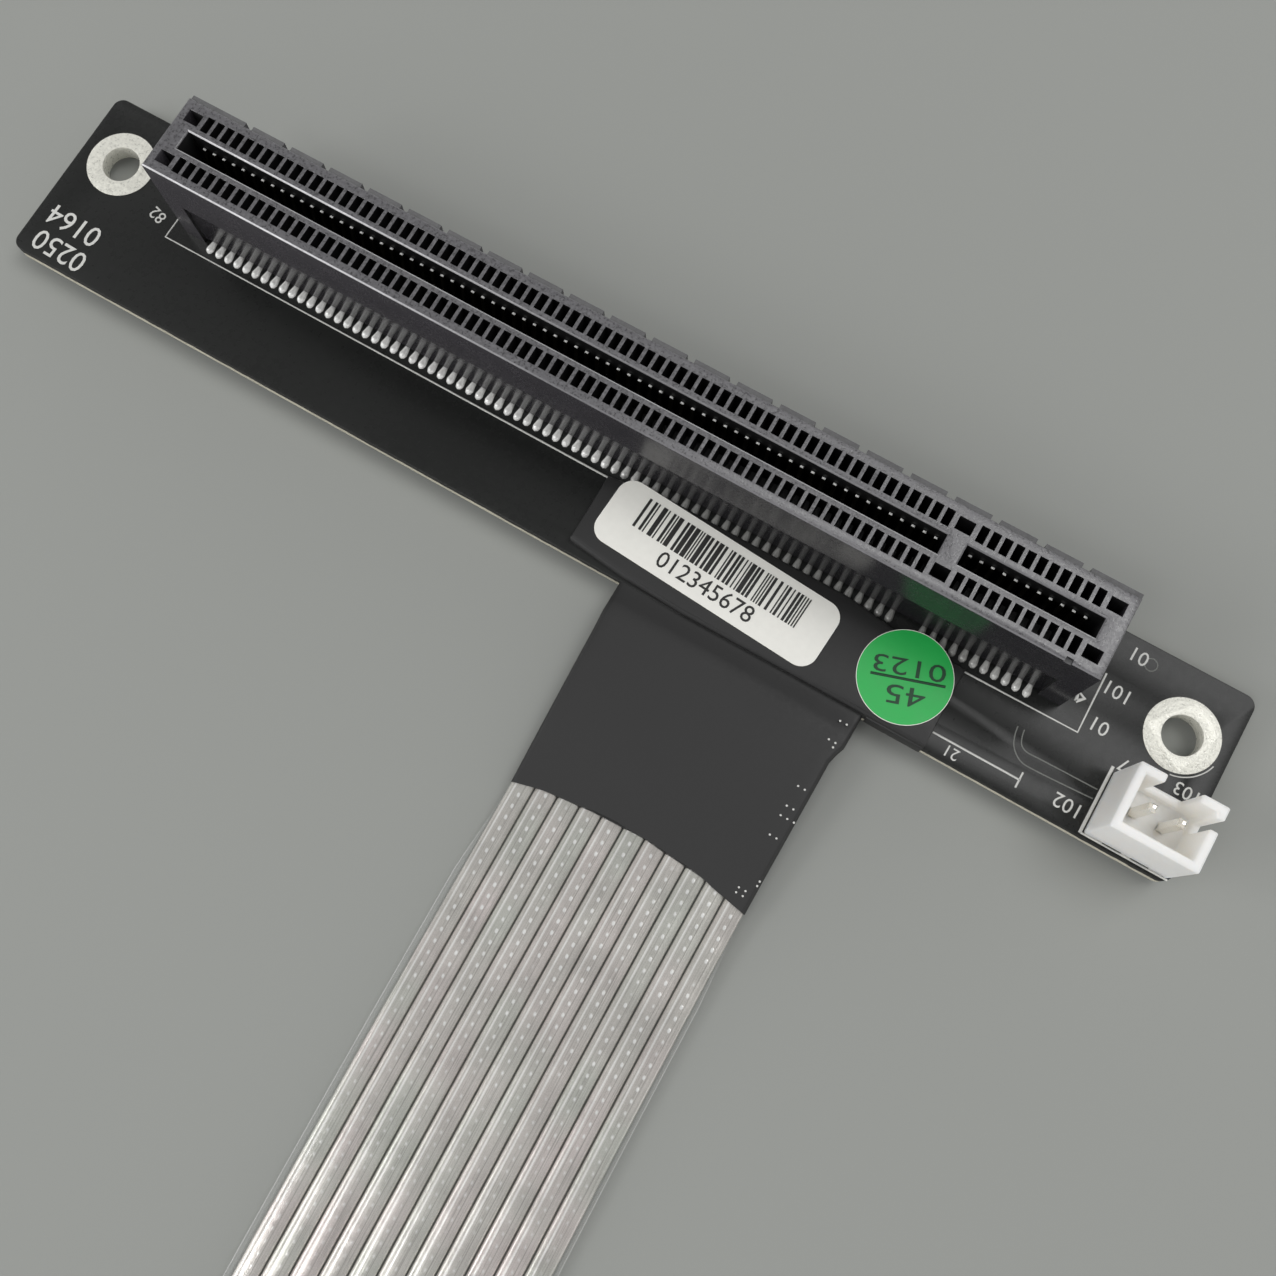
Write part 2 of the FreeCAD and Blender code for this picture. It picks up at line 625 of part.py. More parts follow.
def film_reach():
    """Middle of the cable to the edge of its films."""
    return pair_offset(dim.pair_count - 1) + dim.pair_width / 2 + dim.film_margin


def flat_cable():
    """Shielded pairs side by side, between two clear films."""
    path = cable_path(ROUTE)
    for before, corner, after in zip(ROUTE, ROUTE[1:], ROUTE[2:]):
        print("cable bend radius", round(bend_radius(before, corner, after)[0], 1))
    side = dim.pair_width / 2
    rise = dim.pair_height / 2
    outline = flat_outline(-side, -rise, side, rise)
    pair = swept(path, at_route_start(outline, ROUTE))
    section = Part.Face(outline).Area
    ratio = pair.Volume / section / path.Length
    print("cable length", round(path.Length, 1), "pair volume ratio", round(ratio, 4))
    pieces = []
    for index in range(int(dim.pair_count)):
        place = Placement(Vector(pair_offset(index), 0, 0), Rotation())
        pieces.append(shaped(f"shielded_pair_{index + 1:02d}", pair, place))
    for label, low in (("upper_film", rise), ("lower_film", -rise - dim.film)):
        outline = flat_outline(-film_reach(), low, film_reach(), low + dim.film)
        pieces.append(shaped(label, swept(path, at_route_start(outline, ROUTE))))
    return pieces


def first_stretch(path, length):
    """The start of a path, as long as given."""
    kept = []
    for edge in path.OrderedEdges:
        left = length - sum(piece.Length for piece in kept)
        if left <= edge.Length:
            kept.append(edge.Curve.toShape(edge.FirstParameter, edge.getParameterByLength(left)))
            break
        kept.append(edge)
    return Part.Wire(kept)


def wrapped_sleeve(label, route, length):
    """Black tape wrapped round the films, from the start of a route for a length of it."""
    path = first_stretch(cable_path(route), length)
    across = film_reach() + dim.sleeve_clearance
    rise = dim.pair_height / 2 + dim.film + dim.sleeve_clearance
    wall = dim.sleeve_wall
    outer = flat_outline(-across - wall, -rise - wall, across + wall, rise + wall)
    inner = flat_outline(-across, -rise, across, rise)
    skin = swept(path, at_route_start(outer, route)).cut(swept(path, at_route_start(inner, route)))
    return shaped(label, skin)


def soldered_wires(label, edge, landing_side):
    """The two wires of every pair, laid on a board from the edge where the pairs end."""
    wire = Part.makeBox(dim.wire_size, dim.wire_landing, dim.wire_size,
                        Vector(-dim.wire_size / 2, min(0, landing_side * dim.wire_landing), 0))
    places = [pair_offset(index) + side * dim.wire_spread / 2
              for index in range(int(dim.pair_count)) for side in (-1, 1)]
    copies = [wire.translated(Vector(x, 0, 0)) for x in places]
    return shaped(label, Part.makeCompound(copies), Placement(edge, Rotation()))


def plug_seat():
    """Middle of the plug card's cable edge, on its top."""
    end = ROUTE[-1]
    drop = measure(BOARD_TOP) - ROUTE[0].z
    return Vector(end.x, end.y, end.z + drop)


def plug_card():
    """Edge plug card: a thin board with a narrow, notched end for the gold fingers."""
    seat = plug_seat()
    body = new_body("plug_card", str(seat.x), str(seat.y), f"{seat.z} - card_thickness")
    outline = new_sketch(body, "CardOutline")
    add_rectangle(outline, "-card_width / 2", "tongue_length - card_length", "card_width / 2", "0")
    pad(body, outline, "card_thickness")
    tongue = new_sketch(body, "CardTongue")
    add_rectangle(tongue, "-tongue_width / 2", "-card_length",
                  "tongue_width / 2", "tongue_length - card_length")
    pad(body, tongue, "card_thickness")
    notch = new_sketch(body, "CardNotch")
    add_rectangle(notch, "key_notch_offset - key_notch_width / 2", "-card_length - 1",
                  "key_notch_offset + key_notch_width / 2", "key_notch_depth - card_length")
    pocket(body, notch, upwards=True)
    return body


def gold_fingers(label, height, shift):
    """Gold fingers on one face of the plug card, left out where the notch is."""
    clear = (dim.key_notch_width + dim.finger_width) / 2
    finger = Part.makeBox(dim.finger_width, dim.finger_length, dim.finger_thickness,
                          Vector(-dim.finger_width / 2, dim.finger_inset - dim.card_length, height))
    half = (dim.finger_positions - 1) / 2
    places = [(index - half) * dim.finger_pitch + shift for index in range(int(dim.finger_positions))]
    kept = [x for x in places if abs(x - dim.key_notch_offset) > clear]
    copies = [finger.translated(Vector(x, 0, 0)) for x in kept]
    return shaped(label, Part.makeCompound(copies), Placement(plug_seat(), Rotation()))


def plug_tape():
    """Black tape over the wires on the plug card, open towards the cable."""
    seat = plug_seat()
    skin = "tape_thickness"
    outer = box("plug_tape_outer", ("-card_width / 2", "-plug_tape_length", "0"),
                ("card_width / 2", "0", "tape_rise"))
    inner = box("plug_tape_inner", (f"-card_width / 2 + {skin}", f"-plug_tape_length + {skin}", "-1"),
                (f"card_width / 2 - {skin}", "1", f"tape_rise - {skin}"))
    cover = cut("plug_tape", outer, inner)
    cover.Placement = Placement(seat, Rotation())
    return cover


def build():
    pins = [power_pin("left_pin", "-"), power_pin("right_pin", "")]
    cones = [solder_cone("left_cone", "-", pins[0]), solder_cone("right_cone", "", pins[1])]
    contacts = contact_profile()
    solder = solder_profile()
    pieces = [
        slot_board(),
        hole_plating("left_hole_plating", "-"),
        hole_plating("right_hole_plating", ""),
        slot_housing(),
        row_of("contacts_row_a", contacts, -1),
        row_of("contacts_row_b", contacts, 1),
        row_of("solder_row_a", solder, -1),
        row_of("solder_row_b", solder, 1),
        power_header(),
        group("header_pins", pins),
        group("header_solder", cones),
        board_tape(),
        white_label(),
        round_sticker(),
        soldered_wires("slot_board_wires", Vector(ROUTE[0].x, ROUTE[0].y, measure(BOARD_TOP)), 1),
        wrapped_sleeve("cable_sleeve", ROUTE, dim.sleeve_length),
        wrapped_sleeve("plug_sleeve", ROUTE[::-1], dim.plug_sleeve_length),
        soldered_wires("plug_wires", plug_seat(), -1),
        plug_card(),
        gold_fingers("plug_fingers_top", 0, 0),
        gold_fingers("plug_fingers_bottom", -dim.card_thickness - dim.finger_thickness,
                     dim.finger_pitch / 2),
        plug_tape(),
    ]
    return pieces + flat_cable()


def write(pieces):
    """Check every object, then write each sub-part to its own file."""
    doc.recompute()
    for thing in doc.Objects:
        if "Invalid" in thing.State or "Error" in thing.State:
            raise RuntimeError(thing.Label + " failed: " + ", ".join(thing.State))
    for piece in pieces:
        if piece.Shape.isNull() or not piece.Shape.isValid():
            raise RuntimeError(piece.Label + " has no valid shape")
    os.makedirs("parts", exist_ok=True)
    for piece in pieces:
        piece.Shape.exportStep(f"parts/{piece.Label}.step")
        print(piece.Label, len(piece.Shape.Solids), "solids", round(piece.Shape.Volume, 2), "mm3")


write(build())
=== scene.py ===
# %% [markdown]
# # A graphics card extension cable
#
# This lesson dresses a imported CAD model: a slot board with a long card slot, and a flat cable of
# shielded pairs that runs to a thin plug card. The CAD model is the fixed frame. What is right there
# stays and gets a finish, and what is too plain is modelled again in its place.

# %% Load the frame
import math
import random
from contextlib import contextmanager

import bmesh
import bpy
from mathutils import Matrix, Vector


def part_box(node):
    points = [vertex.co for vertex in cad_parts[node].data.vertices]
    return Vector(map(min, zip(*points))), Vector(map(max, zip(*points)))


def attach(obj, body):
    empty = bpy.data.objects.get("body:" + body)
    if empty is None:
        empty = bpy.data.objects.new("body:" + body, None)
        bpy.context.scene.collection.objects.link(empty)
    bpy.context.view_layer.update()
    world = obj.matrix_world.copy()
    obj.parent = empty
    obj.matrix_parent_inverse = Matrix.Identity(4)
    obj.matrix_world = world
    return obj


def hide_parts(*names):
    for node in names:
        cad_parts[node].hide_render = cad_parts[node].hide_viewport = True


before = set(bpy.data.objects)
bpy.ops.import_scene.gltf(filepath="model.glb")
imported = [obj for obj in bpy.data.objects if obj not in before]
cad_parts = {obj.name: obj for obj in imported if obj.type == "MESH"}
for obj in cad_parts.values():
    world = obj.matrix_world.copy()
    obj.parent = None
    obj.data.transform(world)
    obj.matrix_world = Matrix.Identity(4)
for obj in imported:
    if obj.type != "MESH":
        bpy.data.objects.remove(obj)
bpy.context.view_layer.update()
MM = 0.001
print("nodes in the frame:", len(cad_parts))

# %% [markdown]
# ## The camera
#
# The photograph was taken from close above the board. A camera can be placed by eye, but a fit to the
# slot's contacts gave its place and its three directions, so those are written into its matrix.

# %% Place the camera
PHOTO_SIZE = 1276
FOCAL_PIXELS = 1369.0
SENSOR_WIDTH = 36.0
CAMERA_PLACE = Vector((25.94, -33.25, 116.46)) * MM
CAMERA_RIGHT = Vector((0.865, 0.5013, -0.0242))
CAMERA_FORWARD = Vector((-0.1314, 0.1796, -0.9749))

camera_data = bpy.data.cameras.new("photo_camera")
camera_data.sensor_width = SENSOR_WIDTH
camera_data.lens = FOCAL_PIXELS / PHOTO_SIZE * SENSOR_WIDTH
camera_data.clip_start = 1 * MM
camera = bpy.data.objects.new("photo_camera", camera_data)
bpy.context.scene.collection.objects.link(camera)
backward = -CAMERA_FORWARD.normalized()
upward = backward.cross(CAMERA_RIGHT).normalized()
sideways = upward.cross(backward)
turn = Matrix((sideways, upward, backward)).transposed()
camera.matrix_world = Matrix.Translation(CAMERA_PLACE) @ turn.to_4x4()
bpy.context.scene.camera = camera
print("camera lens:", round(camera_data.lens, 2), "mm")

# %% [markdown]
# ## Small helpers
#
# Operators act on whatever is selected, and the frame comes in selected. So each piece starts from an
# empty selection, and parts of a mesh are picked in code, by where they are or which way they face.

# %% Helpers for picking and shaping
def deselect():
    """Leaves nothing selected, so that the next operator acts on the new piece only."""
    bpy.ops.object.select_all(action="DESELECT")


def activate(obj):
    deselect()
    obj.select_set(True)
    bpy.context.view_layer.objects.active = obj


def add_object(name, data):
    """A new object for a mesh, a curve or a lamp, in the scene."""
    obj = bpy.data.objects.new(name, data)
    bpy.context.scene.collection.objects.link(obj)
    return obj


@contextmanager
def editing(obj):
    """Edit mode for one piece, with nothing picked at the start."""
    activate(obj)
    bpy.ops.object.mode_set(mode="EDIT")
    bpy.ops.mesh.select_all(action="DESELECT")
    yield
    bpy.ops.object.mode_set(mode="OBJECT")


def pick(obj, kind, test):
    """Selects the vertices, edges or faces that pass a test, in edit mode."""
    bpy.ops.mesh.select_mode(type=kind)
    bpy.ops.mesh.select_all(action="DESELECT")
    mesh = bmesh.from_edit_mesh(obj.data)
    items = {"VERT": mesh.verts, "EDGE": mesh.edges, "FACE": mesh.faces}[kind]
    for item in items:
        item.select_set(bool(test(item)))
    mesh.select_flush_mode()
    bmesh.update_edit_mesh(obj.data)


def settle(obj):
    """Puts the piece's place, turn and size into its mesh."""
    activate(obj)
    bpy.ops.object.transform_apply(location=True, rotation=True, scale=True)


def apply_modifier(obj, kind, **settings):
    activate(obj)
    modifier = obj.modifiers.new(kind.lower(), kind)
    for name, value in settings.items():
        setattr(modifier, name, value)
    bpy.ops.object.modifier_apply(modifier=modifier.name)


def join(name, pieces):
    """Makes one piece of several, under a new name."""
    activate(pieces[0])
    for piece in pieces:
        piece.select_set(True)
    bpy.ops.object.join()
    pieces[0].name = name
    return pieces[0]


def smooth(obj, degrees=40.0):
    activate(obj)
    bpy.ops.object.shade_smooth_by_angle(angle=math.radians(degrees))


def dress(obj, material, slot, *nodes):
    """Gives a finished piece its material and its body, and hides the CAD nodes it stands for. The slot
    is not used.
    """
    obj.data.materials.clear()
    obj.data.materials.append(material)
    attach(obj, "root")
    if nodes:
        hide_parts(*nodes)
    print(obj.name, "has", len(obj.data.polygons), "faces")


def second_finish(obj, material, test):
    """Gives the faces that pass a test another material than the rest."""
    obj.data.materials.append(material)
    chosen = [face for face in obj.data.polygons if test(face)]
    for face in chosen:
        face.material_index = 1
    print(len(chosen), "of them are", material.name)


# %% [markdown]
# ## An uneven surface
#
# No real surface has one flat colour. This node group takes a colour and a roughness and lets both
# drift in soft patches, and it also gives a fine grain for bump. Each material sets its own amounts.

# %% Build the uneven surface group
def add_sockets(tree, side, names):
    for name, kind in names:
        tree.interface.new_socket(name, in_out=side, socket_type=kind)


COLOR = "NodeSocketColor"
FLOAT = "NodeSocketFloat"
uneven = bpy.data.node_groups.new("uneven_surface", "ShaderNodeTree")
add_sockets(uneven, "INPUT", [("Color", COLOR), ("Drift", FLOAT), ("Patches", FLOAT),
                              ("Roughness", FLOAT), ("Wear", FLOAT), ("Grain Scale", FLOAT)])
add_sockets(uneven, "OUTPUT", [("Color", COLOR), ("Roughness", FLOAT), ("Grain", FLOAT)])


def add_node(tree, kind, **settings):
    node = tree.nodes.new(kind)
    for name, value in settings.items():
        setattr(node, name, value)
    return node


def feed(tree, value, socket):
    """Gives a socket a fixed value, or the value of another node's socket."""
    if isinstance(value, bpy.types.NodeSocket):
        tree.links.new(value, socket)
    else:
        socket.default_value = value


def math_node(tree, operation, *values):
    """One arithmetic step. Each value is a number or the socket of another node."""
    node = add_node(tree, "ShaderNodeMath", operation=operation)
    for place, value in enumerate(values):
        feed(tree, value, node.inputs[place])
    return node.outputs[0]


def noise_node(tree, vector, scale, detail=2.0):
    node = add_node(tree, "ShaderNodeTexNoise")
    node.inputs["Detail"].default_value = detail
    tree.links.new(vector, node.inputs["Vector"])
    feed(tree, scale, node.inputs["Scale"])
    return node.outputs["Fac"]


group_in = add_node(uneven, "NodeGroupInput").outputs
group_out = add_node(uneven, "NodeGroupOutput").inputs
own_place = add_node(uneven, "ShaderNodeTexCoord").outputs["Object"]
patches = noise_node(uneven, own_place, group_in["Patches"])
grain = noise_node(uneven, own_place, group_in["Grain Scale"], 3.0)
lean = math_node(uneven, "SUBTRACT", math_node(uneven, "ADD", patches, grain), 1.0)
shade = add_node(uneven, "ShaderNodeHueSaturation")
uneven.links.new(math_node(uneven, "MULTIPLY_ADD", lean, group_in["Drift"], 1.0), shade.inputs["Value"])
uneven.links.new(group_in["Color"], shade.inputs["Color"])
uneven.links.new(shade.outputs["Color"], group_out["Color"])
uneven.links.new(math_node(uneven, "MULTIPLY_ADD", lean, group_in["Wear"], group_in["Roughness"]),
                 group_out["Roughness"])
uneven.links.new(grain, group_out["Grain"])
print("group sockets:", len(uneven.interface.items_tree))


# %% Make a finish from the group
def linear(red, green, blue):
    """A colour as a photograph shows it, 0 to 255, in the light values that shaders use."""
    def channel(value):
        value /= 255
        return value / 12.92 if value <= 0.04045 else ((value + 0.055) / 1.055) ** 2.4
    return (channel(red), channel(green), channel(blue), 1.0)


def new_finish(name, color, roughness, drift=0.15, patches=150.0, wear=0.15, grain=4000.0,
               bump=0.1, bump_size=0.02, metallic=0.0, specular=0.5):
    """A material of one shader with the uneven surface in front of it."""
    material = bpy.data.materials.new(name)
    material.use_nodes = True
    tree = material.node_tree
    shader = tree.nodes["Principled BSDF"]
    shader.inputs["Metallic"].default_value = metallic
    shader.inputs["Specular IOR Level"].default_value = specular
    surface = add_node(tree, "ShaderNodeGroup", node_tree=uneven, name="surface")
    for socket, value in (("Color", color), ("Drift", drift), ("Patches", patches),
                          ("Roughness", roughness), ("Wear", wear), ("Grain Scale", grain)):
        surface.inputs[socket].default_value = value
    tree.links.new(surface.outputs["Color"], shader.inputs["Base Color"])
    tree.links.new(surface.outputs["Roughness"], shader.inputs["Roughness"])
    relief = add_node(tree, "ShaderNodeBump", name="relief")
    relief.inputs["Strength"].default_value = bump
    relief.inputs["Distance"].default_value = bump_size * MM
    tree.links.new(surface.outputs["Grain"], relief.inputs["Height"])
    tree.links.new(relief.outputs["Normal"], shader.inputs["Normal"])
    return material


# %% [markdown]
# Some finishes change from place to place. A few small helpers read a place, turn it into a value
# between two ends, and mix colours by that value.

# %% Helpers for finishes that change
def mix_colors(tree, mask, first, second):
    """One colour where the mask is 0 and the other where it is 1."""
    node = add_node(tree, "ShaderNodeMix", data_type="RGBA")
    tree.links.new(mask, node.inputs["Factor"])
    feed(tree, first, node.inputs[6])
    feed(tree, second, node.inputs[7])
    return node.outputs[2]


def recolor(material, color):
    """Puts a mixed colour in front of the material's uneven surface."""
    tree = material.node_tree
    tree.links.new(color, tree.nodes["surface"].inputs["Color"])


def split_place(tree, kind):
    """The X, Y and Z of a place as three values, for one kind of coordinates."""
    place = add_node(tree, "ShaderNodeSeparateXYZ")
    tree.links.new(add_node(tree, "ShaderNodeTexCoord").outputs[kind], place.inputs[0])
    return place.outputs


def ramp(tree, value, start, end, low=0.0, high=1.0):
    """A value that goes from low to high between two places, and stays there outside them."""
    node = add_node(tree, "ShaderNodeMapRange")
    for socket, number in (("From Min", start), ("From Max", end), ("To Min", low), ("To Max", high)):
        node.inputs[socket].default_value = number
    tree.links.new(value, node.inputs["Value"])
    return node.outputs[0]


def noise_place(tree, sideways, lengthwise):
    """A place for a noise, from one value across the piece and one along it."""
    node = add_node(tree, "ShaderNodeCombineXYZ")
    tree.links.new(sideways, node.inputs["X"])
    tree.links.new(lengthwise, node.inputs["Y"])
    return node.outputs[0]


def band(tree, value, middle, half_width):
    """1 in the middle of a band, falling to 0 at its edges."""
    distance = math_node(tree, "ABSOLUTE", math_node(tree, "SUBTRACT", value, middle))
    near = math_node(tree, "SUBTRACT", 1.0, math_node(tree, "DIVIDE", distance, half_width))
    return math_node(tree, "MAXIMUM", near, 0.0)


# %% [markdown]
# ## The flat cable
#
# The cable is eleven foil-wrapped pairs side by side. It leaves the board under a black sleeve, comes
# down to the table and runs off straight. A cable's line is best drawn as one smooth spline through
# a few route points, and everything on the cable then follows points read from that spline.

# %% Draw the cable's line
def new_curve(name, points, kind):
    """A curve through points in millimetres, straight between them or, as NURBS, smoothly bent."""
    curve = bpy.data.curves.new(name, "CURVE")
    curve.dimensions = "3D"
    spline = curve.splines.new(kind)
    spline.points.add(len(points) - 1)
    for point, place in zip(spline.points, points):
        point.co = (*(Vector(place).to_3d() * MM), 1.0)
    if kind == "NURBS":
        spline.order_u = 3
        spline.use_endpoint_u = True
    return curve


ROUTE = [(18.55, -8.75, 2.55), (18.55, -16.0, 2.55), (18.5, -30.5, 0.75), (19.05, -60.0, 0.75),
         (21.05, -119.0, 0.75), (24.2, -188.5, 0.75), (24.75, -258.0, 0.75)]
route_curve = new_curve("cable_route", ROUTE, "NURBS")
route_curve.splines[0].resolution_u = 24
route_object = bpy.data.objects.new("cable_route", route_curve)
line_mesh = bpy.data.meshes.new_from_object(route_object)
cable_line = [vertex.co.copy() for vertex in line_mesh.vertices]
bpy.data.objects.remove(route_object)
bpy.data.meshes.remove(line_mesh)

cable_reach = [0.0]
for before, after in zip(cable_line, cable_line[1:]):
    cable_reach.append(cable_reach[-1] + (after - before).length)
CABLE_LENGTH = cable_reach[-1]
print("cable points:", len(cable_line), "length:", round(CABLE_LENGTH / MM, 1), "mm")


# %% Find places along the line
UP = Vector((0, 0, 1))


def cable_place(reach):
    """The point at a distance along the cable, with the directions across it and out of it."""
    last = len(cable_line) - 2
    index = 0
    while index < last and cable_reach[index + 1] < reach:
        index += 1
    start, end = cable_line[index], cable_line[index + 1]
    along = (end - start).normalized()
    share = (reach - cable_reach[index]) / (cable_reach[index + 1] - cable_reach[index])
    across = UP.cross(along).normalized()
    return start.lerp(end, share), across, along.cross(across)


def sweep(name, rings):
    """A closed skin over rings of points."""
    count = len(rings[0])
    mesh = bpy.data.meshes.new(name)
    faces = []
    for ring in range(len(rings) - 1):
        for step in range(count):
            a = ring * count + step
            b = ring * count + (step + 1) % count
            faces.append((a, b, b + count, a + count))
    faces.append(tuple(reversed(range(count))))
    faces.append(tuple(range((len(rings) - 1) * count, len(rings) * count)))
    mesh.from_pydata([point for ring in rings for point in ring], [], faces)
    obj = add_object(name, mesh)
    with editing(obj):
        bpy.ops.mesh.select_all(action="SELECT")
        bpy.ops.mesh.normals_make_consistent(inside=False)
    return obj


# %% [markdown]
# One pair is a strip with a softly rounded section. It is swept along the line once for each of its
# eleven places, and each strip keeps its own number, so that the foil can differ from pair to pair.

# %% Describe one pair
PAIRS = 11
PAIR_PITCH = 2.03 * MM
PAIR_WIDTH = 1.95 * MM
PAIR_HEIGHT = 1.0 * MM
SECTION_POINTS = 16
SECTION_POWER = 0.62
STATION_STEP = 2.0 * MM
SLEEVE_RISES = [(0.0, 0.2), (1.0, 0.35), (2.2, 0.7), (19.4, 0.7)]
SLEEVE_SKIN = 0.05 * MM
SLEEVE_FULL = 0.65 * MM


def between(table, reach):
    """Straight steps between the rows of a table, in millimetres."""
    reach = reach / MM
    for low, high in zip(table, table[1:]):
        if reach <= high[0]:
            share = (reach - low[0]) / (high[0] - low[0])
            return [(a + (b - a) * share) * MM for a, b in zip(low[1:], high[1:])]
    return [value * MM for value in table[-1][1:]]


def pressed(reach):
    """How much of its height the cable keeps where the wrap presses it flat on the board."""
    rise = between(SLEEVE_RISES, reach)[0]
    return (rise - SLEEVE_SKIN) / SLEEVE_FULL


def rounded_section(width, height, count, power):
    """Points round an oval whose sides are flattened by a power under 1."""
    points = []
    for step in range(count):
        angle = 2 * math.pi * step / count
        wide, tall = math.cos(angle), math.sin(angle)
        points.append((math.copysign(abs(wide) ** power, wide) * width / 2,
                       math.copysign(abs(tall) ** power, tall) * height / 2))
    return points


section = rounded_section(PAIR_WIDTH, PAIR_HEIGHT, SECTION_POINTS, SECTION_POWER)
print("points round a pair:", len(section))

# %% Sweep the eleven pairs
stations = round(CABLE_LENGTH / STATION_STEP)
reaches = [CABLE_LENGTH * step / stations for step in range(stations + 1)]
pairs = []
for number in range(PAIRS):
    offset = (number - (PAIRS - 1) / 2) * PAIR_PITCH
    rings = []
    for reach in reaches:
        centre, across, out = cable_place(reach)
        flat = pressed(reach)
        rings.append([centre + across * (offset + wide) + out * tall * flat for wide, tall in section])
    strip = sweep("pair_strip", rings)
    uv_map = strip.data.uv_layers.new(name="foil")
    pair_number = strip.data.attributes.new("pair_number", "FLOAT", "POINT")
    for value in pair_number.data:
        value.value = number
    for loop in strip.data.loops:
        ring, step = divmod(loop.vertex_index, SECTION_POINTS)
        uv_map.data[loop.index].uv = (step / SECTION_POINTS, reaches[ring] / MM)
    pairs.append(strip)
flat_cable = join("flat_cable", pairs)
smooth(flat_cable, 60.0)
print("cable faces:", len(flat_cable.data.polygons))

# %% [markdown]
# The foil is wound in a spiral, so each strip carries slanting folds and a row of small spots where the
# wrap's edges lie, which are raised in the relief and painted near-white as glints. A painted highlight
# runs as a thin bright line along each strip's left ridge, and a painted shade makes a thin dark line
# along the groove between the pair's two wires. A picture could be painted on, but bands on the
# strip's own UV map give the same and never end.

# %% Make the foil
PAIR_DRIFT, LENGTH_DRIFT = 3.7, 0.11
WARM_RANGE = (0.35, 0.65)
PAIR_TINTS = (linear(203, 204, 196), linear(214, 206, 202))
foil = new_finish("shield_foil", linear(200, 198, 192), 0.17, drift=0.35, patches=350.0, wear=0.2,
                  grain=9000.0, bump=0.3, bump_size=0.02, metallic=0.5)
tree = foil.node_tree
surface, relief = tree.nodes["surface"], tree.nodes["relief"]
uv_place = split_place(tree, "UV")
around, along = uv_place["X"], uv_place["Y"]
pair = add_node(tree, "ShaderNodeAttribute", attribute_name="pair_number").outputs["Fac"]
drift_place = noise_place(tree, math_node(tree, "MULTIPLY", pair, PAIR_DRIFT),
                          math_node(tree, "MULTIPLY", along, LENGTH_DRIFT))
warm = ramp(tree, noise_node(tree, drift_place, 1.0, 1.0), *WARM_RANGE)
foil_color = mix_colors(tree, warm, *PAIR_TINTS)
print("foil nodes:", len(tree.nodes))

# %% Fold the foil, with its painted highlight and shade
STREAK_SCALE, STREAK_SHIFT, STREAK_DRIFT = 80.0, 9.3, 0.15
STREAK_RANGE, STREAK_STRENGTH, STREAK_RELIEF = (0.48, 0.72), 0.55, 1.5
TURN_PITCH, TURN_SLANT, TURN_MIDDLE = 1.05, 2.0, 0.5
SPOT_PLACE, SPOT_HALF, SPOT_LENGTH = 0.2355, 0.018, 0.22
SPOT_PATCHES, SPOT_RANGE, SPOT_STRENGTH = 2.7, (0.3, 0.5), 3.0
SPOT_REACH, SPOT_LEFT = (30.0, 44.0), 0.25
RIDGE_HIGHLIGHT_REACH, RIDGE_HIGHLIGHT_PLACES, RIDGE_HIGHLIGHT_HALVES = (24.0, 60.0), (0.313, 0.29), (0.02, 0.013)
GROOVE_SHADE_PLACE, GROOVE_SHADE_HALF, GROOVE_SHADE_STRENGTH = 0.212, 0.007, 0.5
FOLD_HALF, FOLD_RELIEF = 0.5, 0.35
shifted = math_node(tree, "MULTIPLY_ADD", around, STREAK_SCALE,
                    math_node(tree, "MULTIPLY", pair, STREAK_SHIFT))
streak_place = noise_place(tree, shifted, math_node(tree, "MULTIPLY", along, STREAK_DRIFT))
streaks = noise_node(tree, streak_place, 1.0, 3.0)
dark_streaks = ramp(tree, streaks, *STREAK_RANGE, 0.0, STREAK_STRENGTH)
foil_color = mix_colors(tree, dark_streaks, foil_color, linear(150, 147, 141))
turns = math_node(tree, "FRACT", math_node(tree, "ADD", math_node(tree, "DIVIDE", along, TURN_PITCH),
                                           math_node(tree, "MULTIPLY", around, TURN_SLANT)))
# The wrap's edges: raised in the relief, and painted near-white as glints that fade down the cable.
wrap_spots_and_glints = math_node(tree, "MULTIPLY", band(tree, turns, TURN_MIDDLE, SPOT_LENGTH),
                  band(tree, around, SPOT_PLACE, SPOT_HALF))
patchy = ramp(tree, noise_node(tree, drift_place, SPOT_PATCHES, 1.0), *SPOT_RANGE, 0.0, SPOT_STRENGTH)
for share in (patchy, ramp(tree, along, *SPOT_REACH, 1.0, SPOT_LEFT)):
    wrap_spots_and_glints = math_node(tree, "MULTIPLY", wrap_spots_and_glints, share)
wrap_spots_and_glints = math_node(tree, "MINIMUM", wrap_spots_and_glints, 1.0)
# Painted highlight: a thin bright line along each strip's left ridge, drifting across it down the cable.
ridge_highlight = band(tree, around, ramp(tree, along, *RIDGE_HIGHLIGHT_REACH, *RIDGE_HIGHLIGHT_PLACES),
             ramp(tree, along, *RIDGE_HIGHLIGHT_REACH, *RIDGE_HIGHLIGHT_HALVES))
foil_color = mix_colors(tree, ridge_highlight, foil_color, linear(255, 254, 251))
# Painted shade: a thin dark line along the groove between the pair's two wires.
groove_shade = math_node(tree, "MULTIPLY", band(tree, around, GROOVE_SHADE_PLACE, GROOVE_SHADE_HALF), GROOVE_SHADE_STRENGTH)
foil_color = mix_colors(tree, groove_shade, foil_color, linear(130, 128, 122))
foil_color = mix_colors(tree, wrap_spots_and_glints, foil_color, linear(250, 250, 248))
recolor(foil, foil_color)
fold = math_node(tree, "MULTIPLY", band(tree, turns, TURN_MIDDLE, FOLD_HALF), FOLD_RELIEF)
height = math_node(tree, "ADD", math_node(tree, "ADD", fold, wrap_spots_and_glints), surface.outputs["Grain"])
height = math_node(tree, "MULTIPLY_ADD", streaks, STREAK_RELIEF, height)
tree.links.new(height, relief.inputs["Height"])
dress(flat_cable, foil, "shield_foil", *[f"shielded_pair_{n:02d}" for n in range(1, PAIRS + 1)])
